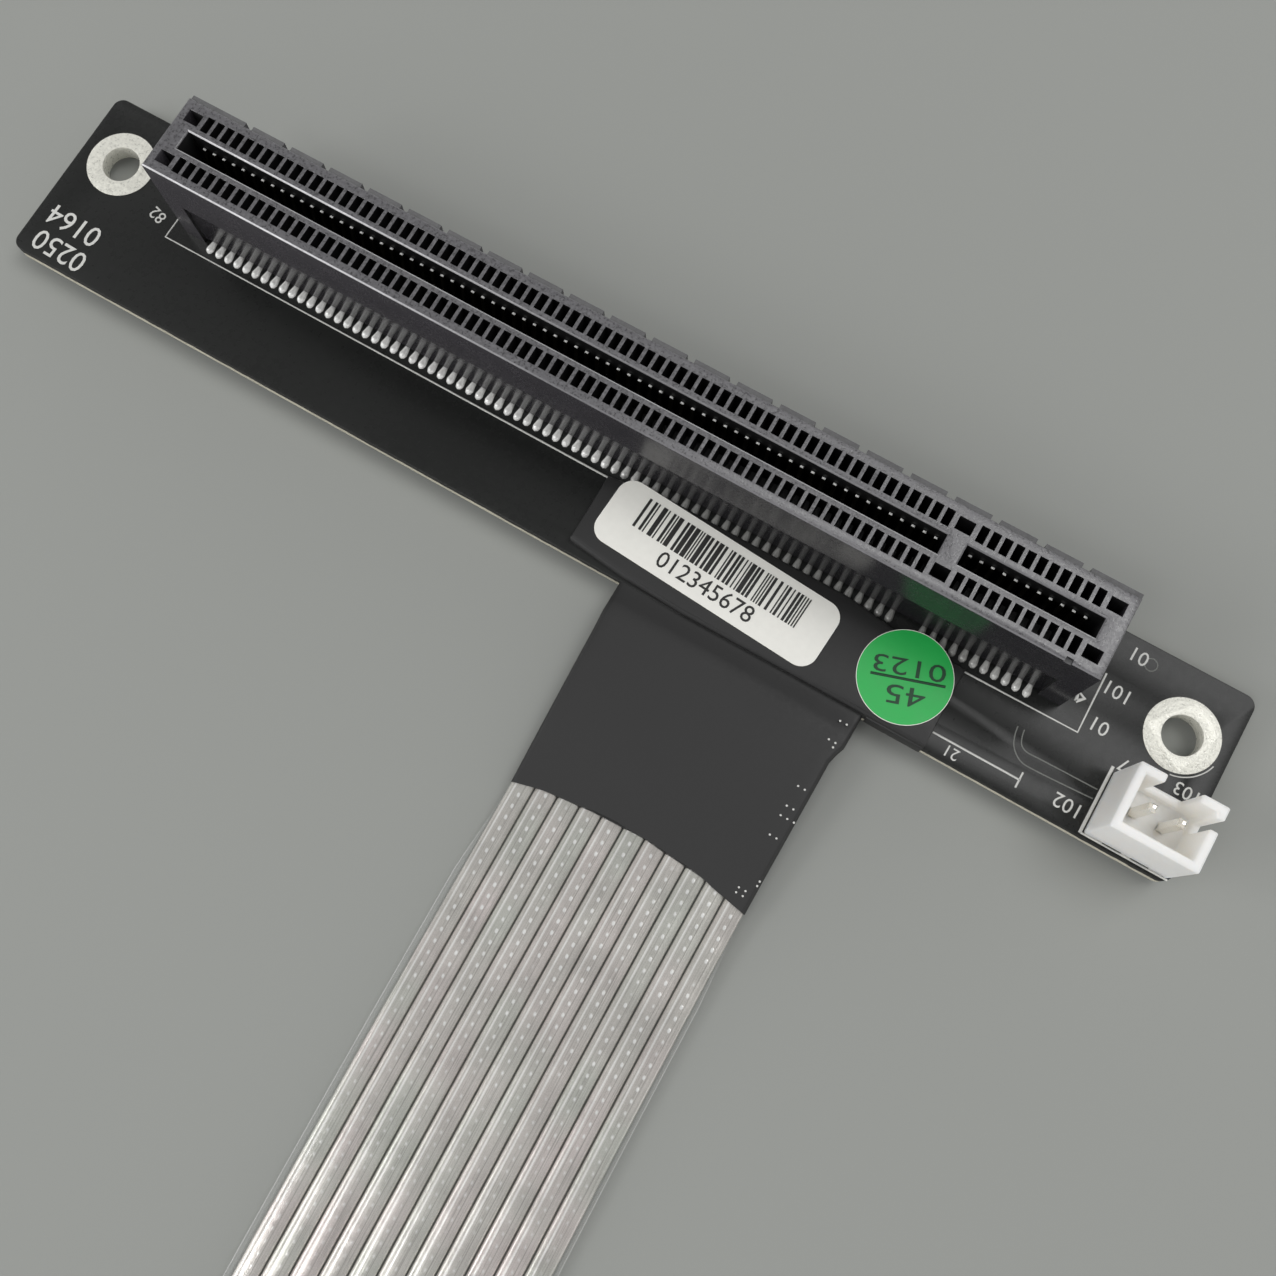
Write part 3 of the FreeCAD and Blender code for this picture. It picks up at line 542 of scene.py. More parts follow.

# %% [markdown]
# ## The clear film
#
# Two clear films hold the pairs together. They lie close over the strips, dip between them, and stand
# out a little past the outer ones, where their edges catch the light as thin pale lines. Real glass
# would bend light and slow the render, so the film is a thin see-through skin, and those pale lines are
# a painted highlight: the skin is made less clear along its edges.

# %% Sweep the film
LEFT_MARGIN = 0.6 * MM
RIGHT_MARGIN = 0.42 * MM
FILM_CLEAR = 0.03 * MM
FILM_DIP = 0.5
FILM_STEPS = 88
SLEEVE_LENGTH = 19.4 * MM
FLARE_START = 21.5 * MM
FLARE_LENGTH = 6.0 * MM
FLARE_LEAST = 0.1
MARGIN_HALF = 0.02 * MM
MARGIN_SHARES = (1.0, 0.92, 0.85, 0.5, 0.2)
MARGIN_HIGHLIGHTS = (1.0, 0.8, 0.0, 0.12, 0.0)
cable_half = PAIR_PITCH * (PAIRS - 1) / 2 + PAIR_WIDTH / 2


def film_height(wide):
    """How high the film lies over a place across the cable."""
    nearest = round(wide / PAIR_PITCH)
    nearest = max(-(PAIRS // 2), min(PAIRS // 2, nearest))
    share = min(1.0, abs(wide - nearest * PAIR_PITCH) / (PAIR_WIDTH / 2))
    crown = (1 - share ** (2 / SECTION_POWER)) ** (SECTION_POWER / 2)
    return PAIR_HEIGHT / 2 * max(crown, FILM_DIP) + FILM_CLEAR


def film_ring(reach):
    centre, across, out = cable_place(reach)
    opened = max(0.0, min(1.0, (reach - FLARE_START) / FLARE_LENGTH))
    flare = FLARE_LEAST + (1 - FLARE_LEAST) * opened
    flat = pressed(reach)
    top = []
    for step in range(FILM_STEPS + 1):
        wide = cable_half * (2 * step / FILM_STEPS - 1)
        top.append((wide, film_height(wide) * flat))
    left = [(-cable_half - LEFT_MARGIN * flare * share, MARGIN_HALF) for share in MARGIN_SHARES]
    right = [(cable_half + RIGHT_MARGIN * flare * share, MARGIN_HALF) for share in MARGIN_SHARES[::-1]]
    upper = left + top + right
    lower = [(wide, -tall) for wide, tall in reversed(upper)]
    return [centre + across * wide + out * tall for wide, tall in upper + lower]


film = sweep("film_jacket", [film_ring(reach) for reach in reaches])
# Painted highlight: pale lines along the film's edges, where the skin is made less clear.
marks = list(MARGIN_HIGHLIGHTS) + [0.0] * (FILM_STEPS + 1) + list(reversed(MARGIN_HIGHLIGHTS))
marks = marks + list(reversed(marks))
painted_edge_highlight = film.data.attributes.new("painted_edge_highlight", "FLOAT", "POINT")
for index, value in enumerate(painted_edge_highlight.data):
    value.value = marks[index % len(marks)]
smooth(film, 60.0)
print("film width:", round((2 * cable_half + LEFT_MARGIN + RIGHT_MARGIN) / MM, 2), "mm")

# %% Make the film clear
EDGE_HIGHLIGHT_ALPHA, SEEN_FILM = 0.45, 0.04
clear = new_finish("clear_film", linear(225, 226, 224), 0.18, drift=0.05, bump=0.1, grain=900.0)
tree = clear.node_tree
mark = add_node(tree, "ShaderNodeAttribute", attribute_name="painted_edge_highlight").outputs["Fac"]
seen = math_node(tree, "MULTIPLY_ADD", mark, EDGE_HIGHLIGHT_ALPHA, SEEN_FILM)
tree.links.new(seen, tree.nodes["Principled BSDF"].inputs["Alpha"])
dress(film, clear, "clear_film", "upper_film", "lower_film")

# %% [markdown]
# ## Black tape
#
# At the board, black tape is wrapped round the cable as a flat sleeve. It is a little wider at its
# root, pinched where the wrap starts, and its far edge bows back in the middle. A swept tube whose
# length differs across its width gives that edge, and the short sleeve at the plug is made alike.

# %% Wrap the sleeves
SLEEVE_STEPS = 28
SLEEVE_STATIONS = 24
SLEEVE_EDGES = [(0.0, 11.79, 11.78), (3.2, 11.78, 11.74), (4.6, 11.68, 11.24), (19.4, 11.18, 11.24)]
EDGE_TURN = [(0.4, 0.97), (0.75, 0.8), (0.95, 0.45), (1.0, 0.0)]
EDGE_RADIUS = 0.5 * MM
SLACK_POINTS = 9
SLACK = 0.1
SLEEVE_BOW = 1.5 * MM


def sleeve_section(left, right, rise):
    """A flat section with rounded ends, as (across, out) from the cable's middle."""
    top = []
    for step in range(SLEEVE_STEPS + 1):
        share = step / SLEEVE_STEPS
        wide = -left + EDGE_RADIUS + (left + right - 2 * EDGE_RADIUS) * share
        top.append((wide, rise))
    ends = [(EDGE_RADIUS * (step - 1), rise * tall) for step, tall in EDGE_TURN]
    start = [(-right_end - left, tall) for right_end, tall in reversed(ends)]
    finish = [(right + right_end, tall) for right_end, tall in ends]
    upper = start + top + finish
    return upper + [(wide, -tall) for wide, tall in reversed(upper[1:-1])]


def wrap_sleeve(name, start, length, bow, edges, rises):
    draws = random.Random(7)
    unevenness = [draws.uniform(-SLACK, SLACK) * MM for _ in range(SLACK_POINTS)]
    rings = []
    for station in range(SLEEVE_STATIONS + 1):
        share = station / SLEEVE_STATIONS
        left, right = between(edges, share * length)
        rise = between(rises, share * length)[0]
        ring = []
        for wide, tall in sleeve_section(left, right, rise):
            lean = max(-1.0, min(1.0, wide / right))
            slack = unevenness[round((lean + 1) / 2 * (SLACK_POINTS - 1))]
            reach = start + share * (length - bow * (1 - lean * lean) + slack)
            centre, across, out = cable_place(reach)
            ring.append(centre + across * wide + out * tall)
        rings.append(ring)
    obj = sweep(name, rings)
    smooth(obj, 50.0)
    return obj


cable_sleeve = wrap_sleeve("sleeve_wrap", 0.0, SLEEVE_LENGTH, SLEEVE_BOW, SLEEVE_EDGES, SLEEVE_RISES)
PLUG_SLEEVE_LENGTH = 12.0 * MM
PLUG_SLEEVE_EDGES = [(0.0, 11.95, 11.95), (12.0, 12.0, 12.0)]
PLUG_SLEEVE_RISES = [(0.0, 0.7), (12.0, 0.7)]
plug_sleeve = wrap_sleeve("plug_sleeve_wrap", CABLE_LENGTH - PLUG_SLEEVE_LENGTH, PLUG_SLEEVE_LENGTH,
                          0.0, PLUG_SLEEVE_EDGES, PLUG_SLEEVE_RISES)

# %% [markdown]
# The tape over the soldered wires is one soft strip. It starts as a box, gets round edges in edit
# mode, and is then cut finer and pushed in and out a little by a cloud pattern, as tape over wires is.

# %% Lay the tape over the wires
def add_box(name, low, high):
    """A cube primitive brought to its size and place."""
    deselect()
    middle = [(a + b) / 2 for a, b in zip(low, high)]
    bpy.ops.mesh.primitive_cube_add(size=1, location=middle)
    obj = bpy.context.active_object
    obj.name = name
    obj.scale = [b - a for a, b in zip(low, high)]
    settle(obj)
    return obj


TAPE_NEAR_TURN = 0.55 * MM
TAPE_EDGE_TURN = 0.2 * MM
TAPE_SAG = 0.1 * MM
TAPE_LAP = 0.75 * MM
TAPE_LAP_ENDS = (4.2 * MM, 27.0 * MM)
TAPE_LAP_FOOT = 0.3 * MM
TAPE_SET_BACK = [(1.0, 0.9), (6.4, 0.3), (9.0, 0.0), (36.0, 0.0)]
APRON_LOW = Vector((30.6, -8.86, 1.25)) * MM
APRON_HIGH = Vector((35.9, -8.5, 3.1)) * MM
APRON_TURN = 0.1 * MM
HAIR = 0.001 * MM
tape_cloud = bpy.data.textures.new("tape_cloud", "CLOUDS")
tape_cloud.noise_scale = 3.5 * MM


def lay_tape(name, low, high):
    obj = add_box(name, low, high)
    with editing(obj):
        pick(obj, "EDGE", lambda e: all(v.co.z > high.z - HAIR and v.co.y < low.y + HAIR
                                        for v in e.verts))
        bpy.ops.mesh.bevel(offset=TAPE_NEAR_TURN, segments=4)
        pick(obj, "EDGE", lambda e: all(v.co.z > high.z - HAIR for v in e.verts)
             and any(v.co.y > low.y + TAPE_NEAR_TURN * 1.5 for v in e.verts))
        bpy.ops.mesh.bevel(offset=TAPE_EDGE_TURN, segments=2)
        bpy.ops.mesh.select_all(action="SELECT")
        bpy.ops.mesh.quads_convert_to_tris()
        bpy.ops.mesh.subdivide(number_cuts=5)
    apply_modifier(obj, "DISPLACE", texture=tape_cloud, texture_coords="LOCAL", mid_level=1.0,
                   strength=TAPE_SAG)
    return obj


tape_low, tape_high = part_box("board_tape")
board_tape = lay_tape("wire_tape", tape_low, tape_high)
with editing(board_tape):
    pick(board_tape, "VERT", lambda v: v.co.y > tape_high.y - TAPE_EDGE_TURN * 1.1
         and TAPE_LAP_ENDS[0] < v.co.x < TAPE_LAP_ENDS[1] and v.co.z > tape_low.z + TAPE_LAP_FOOT)
    bpy.ops.transform.translate(value=(0, TAPE_LAP, 0))
for vertex in board_tape.data.vertices:
    place = vertex.co
    if place.y < tape_low.y + TAPE_NEAR_TURN * 1.2:
        place.y += between(TAPE_SET_BACK, place.x)[0]
apron = add_box("tape_apron", APRON_LOW, APRON_HIGH)
with editing(apron):
    pick(apron, "EDGE", lambda e: all(v.co.y < APRON_LOW.y + HAIR for v in e.verts))
    bpy.ops.mesh.bevel(offset=APRON_TURN, segments=2)
board_tape = join("wire_tape", [board_tape, apron])
smooth(board_tape, 45.0)
plug_tape = lay_tape("plug_wire_tape", *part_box("plug_tape"))
smooth(plug_tape, 45.0)

# %% Make the tape black
black_tape = new_finish("black_tape", linear(36, 36, 36), 0.5, drift=0.12, patches=120.0, wear=0.2,
                        grain=2500.0, bump=0.12, bump_size=0.02)
for piece, node in ((cable_sleeve, "cable_sleeve"), (plug_sleeve, "plug_sleeve"),
                    (board_tape, "board_tape"), (plug_tape, "plug_tape")):
    dress(piece, black_tape, "black_tape", node)

# %% [markdown]
# ## Softer edges for the moulded and cut pieces
#
# The CAD pieces have perfectly sharp edges, which never catch the light as real ones do. A CAD mesh
# may not be changed, so a copy is merged, its flat faces are joined, and a narrow bevel rounds it.

# %% Copy a CAD piece with rounded edges
def merged_copy(node, name):
    obj = add_object(name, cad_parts[node].data.copy())
    with editing(obj):
        bpy.ops.mesh.select_all(action="SELECT")
        bpy.ops.mesh.remove_doubles(threshold=1e-6)
        bpy.ops.mesh.dissolve_limited(angle_limit=math.radians(1.0))
    return obj


SHARP = math.radians(35.0)


def rounded_copy(node, name, width, segments=2):
    obj = merged_copy(node, name)
    apply_modifier(obj, "BEVEL", width=width, segments=segments, limit_method="ANGLE", angle_limit=SHARP)
    smooth(obj, 30.0)
    return obj


slot_board = rounded_copy("slot_board", "board_blank", 0.12 * MM)
plug_card = rounded_copy("plug_card", "plug_card_blank", 0.08 * MM)
housing = rounded_copy("slot_housing", "slot_moulding", 0.05 * MM, 1)
SIDES = ("left", "right")
hole_rings = [rounded_copy(f"{side}_hole_plating", f"{side}_hole_ring", 0.04 * MM) for side in SIDES]

# %% [markdown]
# The header stands on sharp feet, with narrow slits between them, so only its upper edges are rounded.
# The Bevel modifier would take all of them, and the bevel tool takes just the edges that are picked.

# %% Round the header's upper edges
HEADER_TURN = 0.18 * MM
HEADER_SHARP = 0.6 * MM
header = merged_copy("power_header", "header_moulding")
header_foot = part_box("power_header")[0].z + HEADER_SHARP
with editing(header):
    pick(header, "EDGE", lambda e: e.calc_face_angle(0.0) > SHARP
         and max(v.co.z for v in e.verts) > header_foot)
    bpy.ops.mesh.bevel(offset=HEADER_TURN, segments=3, clamp_overlap=True)
smooth(header, 30.0)
print("header faces:", len(header.data.polygons))

# %% [markdown]
# ## The board
#
# The board is black lacquer over glass fibre. Its cut edges are bare below the lacquer, so they show
# the pale fibre there, with a ragged border. They get a material of their own, given to the faces that
# look sideways, which changes with height.

# %% Colour the board
mask_black = new_finish("mask_black", linear(34, 35, 34), 0.28, drift=0.25, patches=90.0, wear=0.12,
                        grain=1500.0, bump=0.05, bump_size=0.01, specular=0.28)
FIBRE = linear(206, 201, 183)
LACQUER = linear(33, 33, 31)
LACQUER_LEVEL = 1.75 * MM
LACQUER_RAGGED = 0.5 * MM
RAGGED_SCALE = 700.0
SIDEWAYS = 0.6
fibre_edge = new_finish("fibre_edge", FIBRE, 0.75, drift=0.4, patches=500.0, grain=3000.0, bump=0.4,
                        bump_size=0.05)
tree = fibre_edge.node_tree
rough_place = add_node(tree, "ShaderNodeTexCoord").outputs["Object"]
ragged = math_node(tree, "MULTIPLY_ADD", noise_node(tree, rough_place, RAGGED_SCALE, 4.0),
                   LACQUER_RAGGED, LACQUER_LEVEL)
lacquered = math_node(tree, "GREATER_THAN", split_place(tree, "Object")["Z"], ragged)
recolor(fibre_edge, mix_colors(tree, lacquered, FIBRE, LACQUER))
for piece, node in ((slot_board, "slot_board"), (plug_card, "plug_card")):
    dress(piece, mask_black, "board", node)
    second_finish(piece, fibre_edge, lambda face: abs(face.normal.z) < SIDEWAYS)

tin = new_finish("levelled_tin", linear(232, 231, 221), 0.35, drift=0.4, patches=2500.0, wear=0.4,
                 grain=5500.0, bump=0.9, bump_size=0.05, metallic=0.25)
for ring, side in zip(hole_rings, SIDES):
    dress(ring, tin, "tinned_ring", f"{side}_hole_plating")

# %% [markdown]
# ## The slot and the power header
#
# The slot is a grey-black glass-filled moulding. Its top is rough and speckled with pale fibres, and its
# gaps are painted near-black as shade. Its outer walls are smooth, most of all at the foot, where they
# mirror the solder, and their colour darkens towards the right end as painted shade. Painted highlights
# make some of its edges pale, brightest at the left end, and the rim's faces down in the card gap get a
# paler finish as painted light. Finishes given face by face show that better than one over all.

# %% Make the slot's finishes
WALL_SHADE_COLORS = (linear(64, 62, 66), linear(46, 45, 48))
WALL_SHADE_REACH = (-10.0 * MM, 15.0 * MM)
WALL_INDEX = 2.2
FOOT_REACH = (4.5 * MM, 7.5 * MM)
FOOT_GLOSS = (1.0, 0.06)
FOOT_ROUGH = (0.13, 0.26)
EDGE_HIGHLIGHT_COLORS = (linear(220, 219, 222), linear(118, 117, 120))
EDGE_HIGHLIGHT_REACH = (-30.0 * MM, -5.0 * MM)
slot_wall = new_finish("slot_wall", WALL_SHADE_COLORS[0], FOOT_ROUGH[0], drift=0.3, patches=400.0, wear=0.15,
                       grain=5500.0, bump=0.08, bump_size=0.02)
slot_top = new_finish("slot_top", linear(88, 87, 90), 0.34, drift=1.4, patches=3000.0, wear=0.5,
                      grain=5500.0, bump=0.5, bump_size=0.04, specular=1.0)
# Painted shade: a near-black finish for the cavities and the card gap.
slot_gap_shade = new_finish("slot_gap_shade", linear(19, 19, 20), 0.5, drift=0.3, bump=0.1)
# Rib tops take this finish, and as painted light so do the rim's faces down in the card gap.
slot_rib_and_gap_light = new_finish("slot_rib_and_gap_light", linear(92, 92, 93), 0.4, drift=0.6, patches=900.0, grain=5500.0,
                      bump=0.3)
# Painted highlight: a pale finish for the slot's edges, brightest at the left end.
slot_edge_highlight = new_finish("slot_edge_highlight", EDGE_HIGHLIGHT_COLORS[0], 0.3, drift=0.6, patches=500.0, bump=0.2)
# Painted highlight: a pale finish for the slot's near lip.
slot_rim_highlight = new_finish("slot_rim_highlight", linear(168, 168, 169), 0.3, drift=0.6, patches=500.0, bump=0.2)
tree = slot_edge_highlight.node_tree
edge_highlight_share = ramp(tree, split_place(tree, "Object")["X"], *EDGE_HIGHLIGHT_REACH)
recolor(slot_edge_highlight, mix_colors(tree, edge_highlight_share, *EDGE_HIGHLIGHT_COLORS))
tree = slot_wall.node_tree
wall_place = split_place(tree, "Object")
# Painted shade: the outer wall's colour darkens towards the right end.
recolor(slot_wall, mix_colors(tree, ramp(tree, wall_place["X"], *WALL_SHADE_REACH), *WALL_SHADE_COLORS))
wall_shader = tree.nodes["Principled BSDF"]
wall_shader.inputs["IOR"].default_value = WALL_INDEX
for socket, values in ((wall_shader.inputs["Specular IOR Level"], FOOT_GLOSS),
                       (tree.nodes["surface"].inputs["Roughness"], FOOT_ROUGH)):
    tree.links.new(ramp(tree, wall_place["Z"], *FOOT_REACH, *values), socket)
slot_finishes = [slot_wall, slot_top, slot_gap_shade, slot_rib_and_gap_light, slot_edge_highlight, slot_rim_highlight]
print("slot finishes:", len(slot_finishes))

# %% Give every face of the slot its finish
SLOT_LINE = 3.83 * MM
CAVITY_REACH = 2.95 * MM
END_SOLID = 1.0 * MM
GAP_REACH = 0.95 * MM
RIM_FOOT = 12.0 * MM
RIM_NEAR = 0.15 * MM
TOP_BAND = 0.2 * MM
LOOKS_UP = 0.6
TURNED_LOW, TURNED_HIGH, TURNED_SIDE = 0.5, 0.95, 0.3
housing_low, housing_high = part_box("slot_housing")


def slot_finish(face):
    """The finish of one face, by where it lies and which way it looks."""
    x, y, z = face.center
    inside = (abs(y - SLOT_LINE) < CAVITY_REACH
              and housing_low.x + END_SOLID < x < housing_high.x - END_SOLID)
    at_top = z > housing_high.z - TOP_BAND
    turned = at_top and TURNED_LOW < face.normal.z < TURNED_HIGH
    # Painted highlights on the turned top edges.
    if turned and face.normal.y < -TURNED_SIDE:
        return slot_edge_highlight
    if turned and face.normal.y > TURNED_SIDE and abs(SLOT_LINE - GAP_REACH - y) < RIM_NEAR:
        return slot_rim_highlight
    if face.normal.z > LOOKS_UP and at_top:
        return slot_top
    if face.normal.z > LOOKS_UP and not inside:
        return slot_rib_and_gap_light
    # Painted light: the rim's faces down in the card gap take the paler rib finish.
    if inside and abs(y - SLOT_LINE) < GAP_REACH and z > RIM_FOOT:
        return slot_rib_and_gap_light
    # Painted shade: the rest of the cavities and the card gap take the near-black finish.
    return slot_gap_shade if inside else slot_wall


dress(housing, slot_wall, "slot_plastic", "slot_housing")
for finish in slot_finishes[1:]:
    housing.data.materials.append(finish)
for face in housing.data.polygons:
    face.material_index = slot_finishes.index(slot_finish(face))

# %% [markdown]
# The header is natural nylon, which lets a little light through, so some of its colour comes from below
# the surface.

# %% Make the header nylon
nylon = new_finish("natural_nylon", linear(255, 251, 243), 0.36, drift=0.06, patches=300.0, wear=0.1,
                   grain=2500.0, bump=0.08)
nylon_shader = nylon.node_tree.nodes["Principled BSDF"]
for socket, value in (("Weight", 0.8), ("Scale", 2.5 * MM), ("Radius", (1.0, 0.9, 0.8))):
    nylon_shader.inputs[f"Subsurface {socket}"].default_value = value
dress(header, nylon, "header_plastic", "power_header")

# %% [markdown]
# The plug card's wires and fingers and the header's solder are right as the CAD has them, so they only
# get a finish. The bright solder is painted darker beside the tape, as shade.

# %% Colour the metal pieces
def repaint(node, material):
    """A CAD piece keeps its shape and takes a better finish."""
    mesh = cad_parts[node].data
    mesh.materials.clear()
    mesh.materials.append(material)


# Painted shade: a dark metal finish for the contacts' strips, which lie in the slot's shade.
contact_metal = new_finish("contact_metal", linear(120, 114, 100), 0.3, drift=0.2, patches=700.0,
                           grain=6000.0, bump=0.1, metallic=1.0)
BRIGHT, SHADED_SOLDER = linear(255, 255, 252), linear(158, 158, 155)
# Painted highlight: a near-white finish for the contact tips.
tip_highlight = new_finish("tip_highlight", BRIGHT, 0.15, drift=0.05, patches=700.0, bump=0.05)
wire_metal = new_finish("wire_metal", linear(205, 200, 190), 0.35, drift=0.3, metallic=1.0)
gold = new_finish("gold_flash", linear(226, 190, 112), 0.25, drift=0.2, patches=600.0, metallic=1.0)
solder = new_finish("bright_solder", BRIGHT, 0.15, drift=0.4, patches=1500.0, wear=0.12, grain=5000.0,
                    bump=0.25, bump_size=0.03, metallic=0.25)
TAPE_STARTS = (0.0, 6.0 * MM)
TAPE_STOPS = (34.0 * MM, 41.0 * MM)
SHADE_LEFT = 0.35
tree = solder.node_tree
solder_along = split_place(tree, "Object")["X"]
# Painted shade: the solder is darker beside the tape.
solder_shade = math_node(tree, "MINIMUM", ramp(tree, solder_along, *TAPE_STARTS),
                 ramp(tree, solder_along, *TAPE_STOPS, 1.0, SHADE_LEFT))
recolor(solder, mix_colors(tree, solder_shade, BRIGHT, SHADED_SOLDER))
repaint("plug_wires", wire_metal)
for node in ("plug_fingers_top", "plug_fingers_bottom"):
    repaint(node, gold)
repaint("header_solder", solder)
print("solder nodes:", len(tree.nodes))

# %% [markdown]
# The wires on the slot board lie wholly under their tape. The modelled tape has a rounder edge than the
# CAD's, so a copy of the wires has its near ends drawn in a little, to stay below it.

# %% Tuck the wires under the tape
WIRE_TUCK = 0.75 * MM
NEARLY = 0.01 * MM
wires = merged_copy("slot_board_wires", "tucked_wires")
wires_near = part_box("slot_board_wires")[0].y
with editing(wires):
    pick(wires, "VERT", lambda v: v.co.y < wires_near + NEARLY)
    bpy.ops.transform.translate(value=(0, WIRE_TUCK, 0))
dress(wires, wire_metal, "wire_metal", "slot_board_wires")

# %% [markdown]
# The two power pins end in short blunt points. A copy of the CAD pins has its end faces inset and then
# drawn up, which leaves four sloping sides and a small flat end on each.

# %% Point the power pins
PIN_INSET = 0.21 * MM
PIN_POINT = 0.45 * MM
pins = merged_copy("header_pins", "pointed_pins")
pin_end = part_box("header_pins")[1].z
with editing(pins):
    pick(pins, "FACE", lambda f: f.normal.z > 0.9 and f.calc_center_median().z > pin_end - PIN_INSET)
    bpy.ops.mesh.inset(thickness=PIN_INSET, use_individual=True)
    bpy.ops.transform.translate(value=(0, 0, PIN_POINT))
pin_metal = new_finish("pin_metal", linear(250, 247, 240), 0.16, drift=0.02, wear=0.05, bump=0.0,
                       metallic=0.7)
dress(pins, pin_metal, "contact_metal", "header_pins")

# %% [markdown]
# ## Solder drops
#
# Every contact's tail ends in a bright drop of solder, round at the toe and drawn to a point towards
# the slot. There are 164, so one drop of few faces is shaped from a ball and copied to each place.

# %% Shape one drop and copy it
DROP_WIDTH = 0.74 * MM
DROP_TALL = 0.42 * MM
DROP_TOE = 0.42 * MM
DROP_TAIL = 2.2 * MM
DROP_TAPER = 0.8
DROP_END_TALL = 0.4
CONTACT_PITCH = 1.0 * MM
KEY_PITCH = 3.0 * MM
LONG_GROUP = 71
SHORT_GROUP = 11
SLOT_MIDDLE = -0.25 * MM
board_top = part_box("slot_board")[1].z


def solder_drop():
    """One drop whose round toe points to -Y, away from the slot."""
    deselect()
    bpy.ops.mesh.primitive_uv_sphere_add(segments=8, ring_count=6, radius=1)
    obj = bpy.context.active_object
    for vertex in obj.data.vertices:
        wide, deep, tall = vertex.co
        thin = 1.0 if deep < 0 else (1 - deep) ** DROP_TAPER
        vertex.co = (wide * thin * DROP_WIDTH / 2,
                     deep * (DROP_TOE if deep < 0 else DROP_TAIL),
                     max(0.0, tall) * (DROP_END_TALL + (1 - DROP_END_TALL) * thin) * DROP_TALL)
    return obj


first_contact = SLOT_MIDDLE + (CONTACT_PITCH * (LONG_GROUP + SHORT_GROUP - 2) + KEY_PITCH) / 2
contact_places = [first_contact - CONTACT_PITCH * step for step in range(SHORT_GROUP)]
after_key = contact_places[-1] - KEY_PITCH
contact_places += [after_key - CONTACT_PITCH * step for step in range(LONG_GROUP)]


def copy_row(name, model, level, side):
    """Copies of a model at every contact place, turned round for the far row."""
    copies = []
    for x in contact_places:
        obj = add_object(name, model.data.copy())
        obj.location = (x, level, board_top)
        obj.rotation_euler.z = 0.0 if side < 0 else math.pi
        copies.append(obj)
    row = join(name, copies)
    settle(row)
    return row


ROWS = (("a", -1), ("b", 1))
TOE_INSET = 0.3 * MM
drop = solder_drop()
for row, side in ROWS:
    low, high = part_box(f"solder_row_{row}")
    toe = (high.y if side < 0 else low.y) - side * TOE_INSET
    drop_row = copy_row(f"solder_drops_{row}", drop, toe, side)
    smooth(drop_row, 80.0)
    dress(drop_row, solder, "solder", f"solder_row_{row}")
bpy.data.objects.remove(drop)

# %% [markdown]
# ## Spring contacts
#
# Each contact is a strip of metal that lies on the board, turns up inside its cavity, bows into the
# card gap and ends in a small flared tip, which shines in front of the rim. That shine is a painted
# highlight, a near-white finish on the tip, and the rest of the strip has a dark metal finish as painted
# shade. It starts as a plane for the tail, whose end edge is extruded step by step, and Solidify then
# gives the strip its thickness.

# %% Shape one contact and copy it
CONTACT_LINE = [(4.35, 0.11), (3.0, 0.11), (2.72, 0.35), (2.5, 2.0), (1.35, 5.4), (0.5, 7.8),
                (0.62, 8.9), (0.77, 9.7)]
CONTACT_WIDTH = 0.3 * MM
CONTACT_THICK = 0.2 * MM
TIP_LEVEL = 9.5 * MM
TIP_TURN = 0.07 * MM


def spring_contact():
    """One contact of the near row, with the slot line at Y 0."""
    deselect()
    bpy.ops.mesh.primitive_plane_add(size=1)
    obj = bpy.context.active_object
    end, heel = CONTACT_LINE[0], CONTACT_LINE[1]
    obj.scale = (CONTACT_WIDTH, (end[0] - heel[0]) * MM, 1)
    obj.location = (0, -(end[0] + heel[0]) / 2 * MM, end[1] * MM)
    settle(obj)
    with editing(obj):
        pick(obj, "EDGE", lambda e: all(v.co.y > -heel[0] * MM - NEARLY for v in e.verts))
        for before, after in zip(CONTACT_LINE[1:], CONTACT_LINE[2:]):
            step = (0, (before[0] - after[0]) * MM, (after[1] - before[1]) * MM)
            bpy.ops.mesh.extrude_region_move(TRANSFORM_OT_translate={"value": step})
    apply_modifier(obj, "SOLIDIFY", thickness=CONTACT_THICK, offset=0.0, use_even_offset=True)
    with editing(obj):
        pick(obj, "EDGE", lambda e: all(v.co.z > TIP_LEVEL for v in e.verts))
        bpy.ops.mesh.bevel(offset=TIP_TURN, segments=2)
        bpy.ops.mesh.select_all(action="SELECT")
        bpy.ops.mesh.normals_make_consistent(inside=False)
    return obj


contact = spring_contact()
for row, side in ROWS:
    contact_row = copy_row(f"spring_contacts_{row}", contact, SLOT_LINE, side)
    smooth(contact_row, 40.0)
    dress(contact_row, contact_metal, "contact_metal", f"contacts_row_{row}")
    # Painted highlight: the tips' faces take the near-white tip finish.
    second_finish(contact_row, tip_highlight, lambda face: face.center.z > board_top + TIP_LEVEL)
bpy.data.objects.remove(contact)

# %% [markdown]
# ## Print on the board
#
# White ink marks the outlines of the parts. A line can be drawn as a curve with a round bevel and
# pressed flat, and a figure as a text object turned into a mesh. Plain figures mark the contacts.

# %% Draw ink lines and figures
INK_HEIGHT = 0.03 * MM
LINE_WIDTH = 0.18 * MM
FIGURE_SHARE = 0.7


def arc(middle, radius, start, end, steps=16):
    """Points of an arc in millimetres, between two angles in degrees."""
    turns = [math.radians(start + (end - start) * step / steps) for step in range(steps + 1)]
    x, y = middle
    return [(x + radius * math.cos(turn), y + radius * math.sin(turn)) for turn in turns]


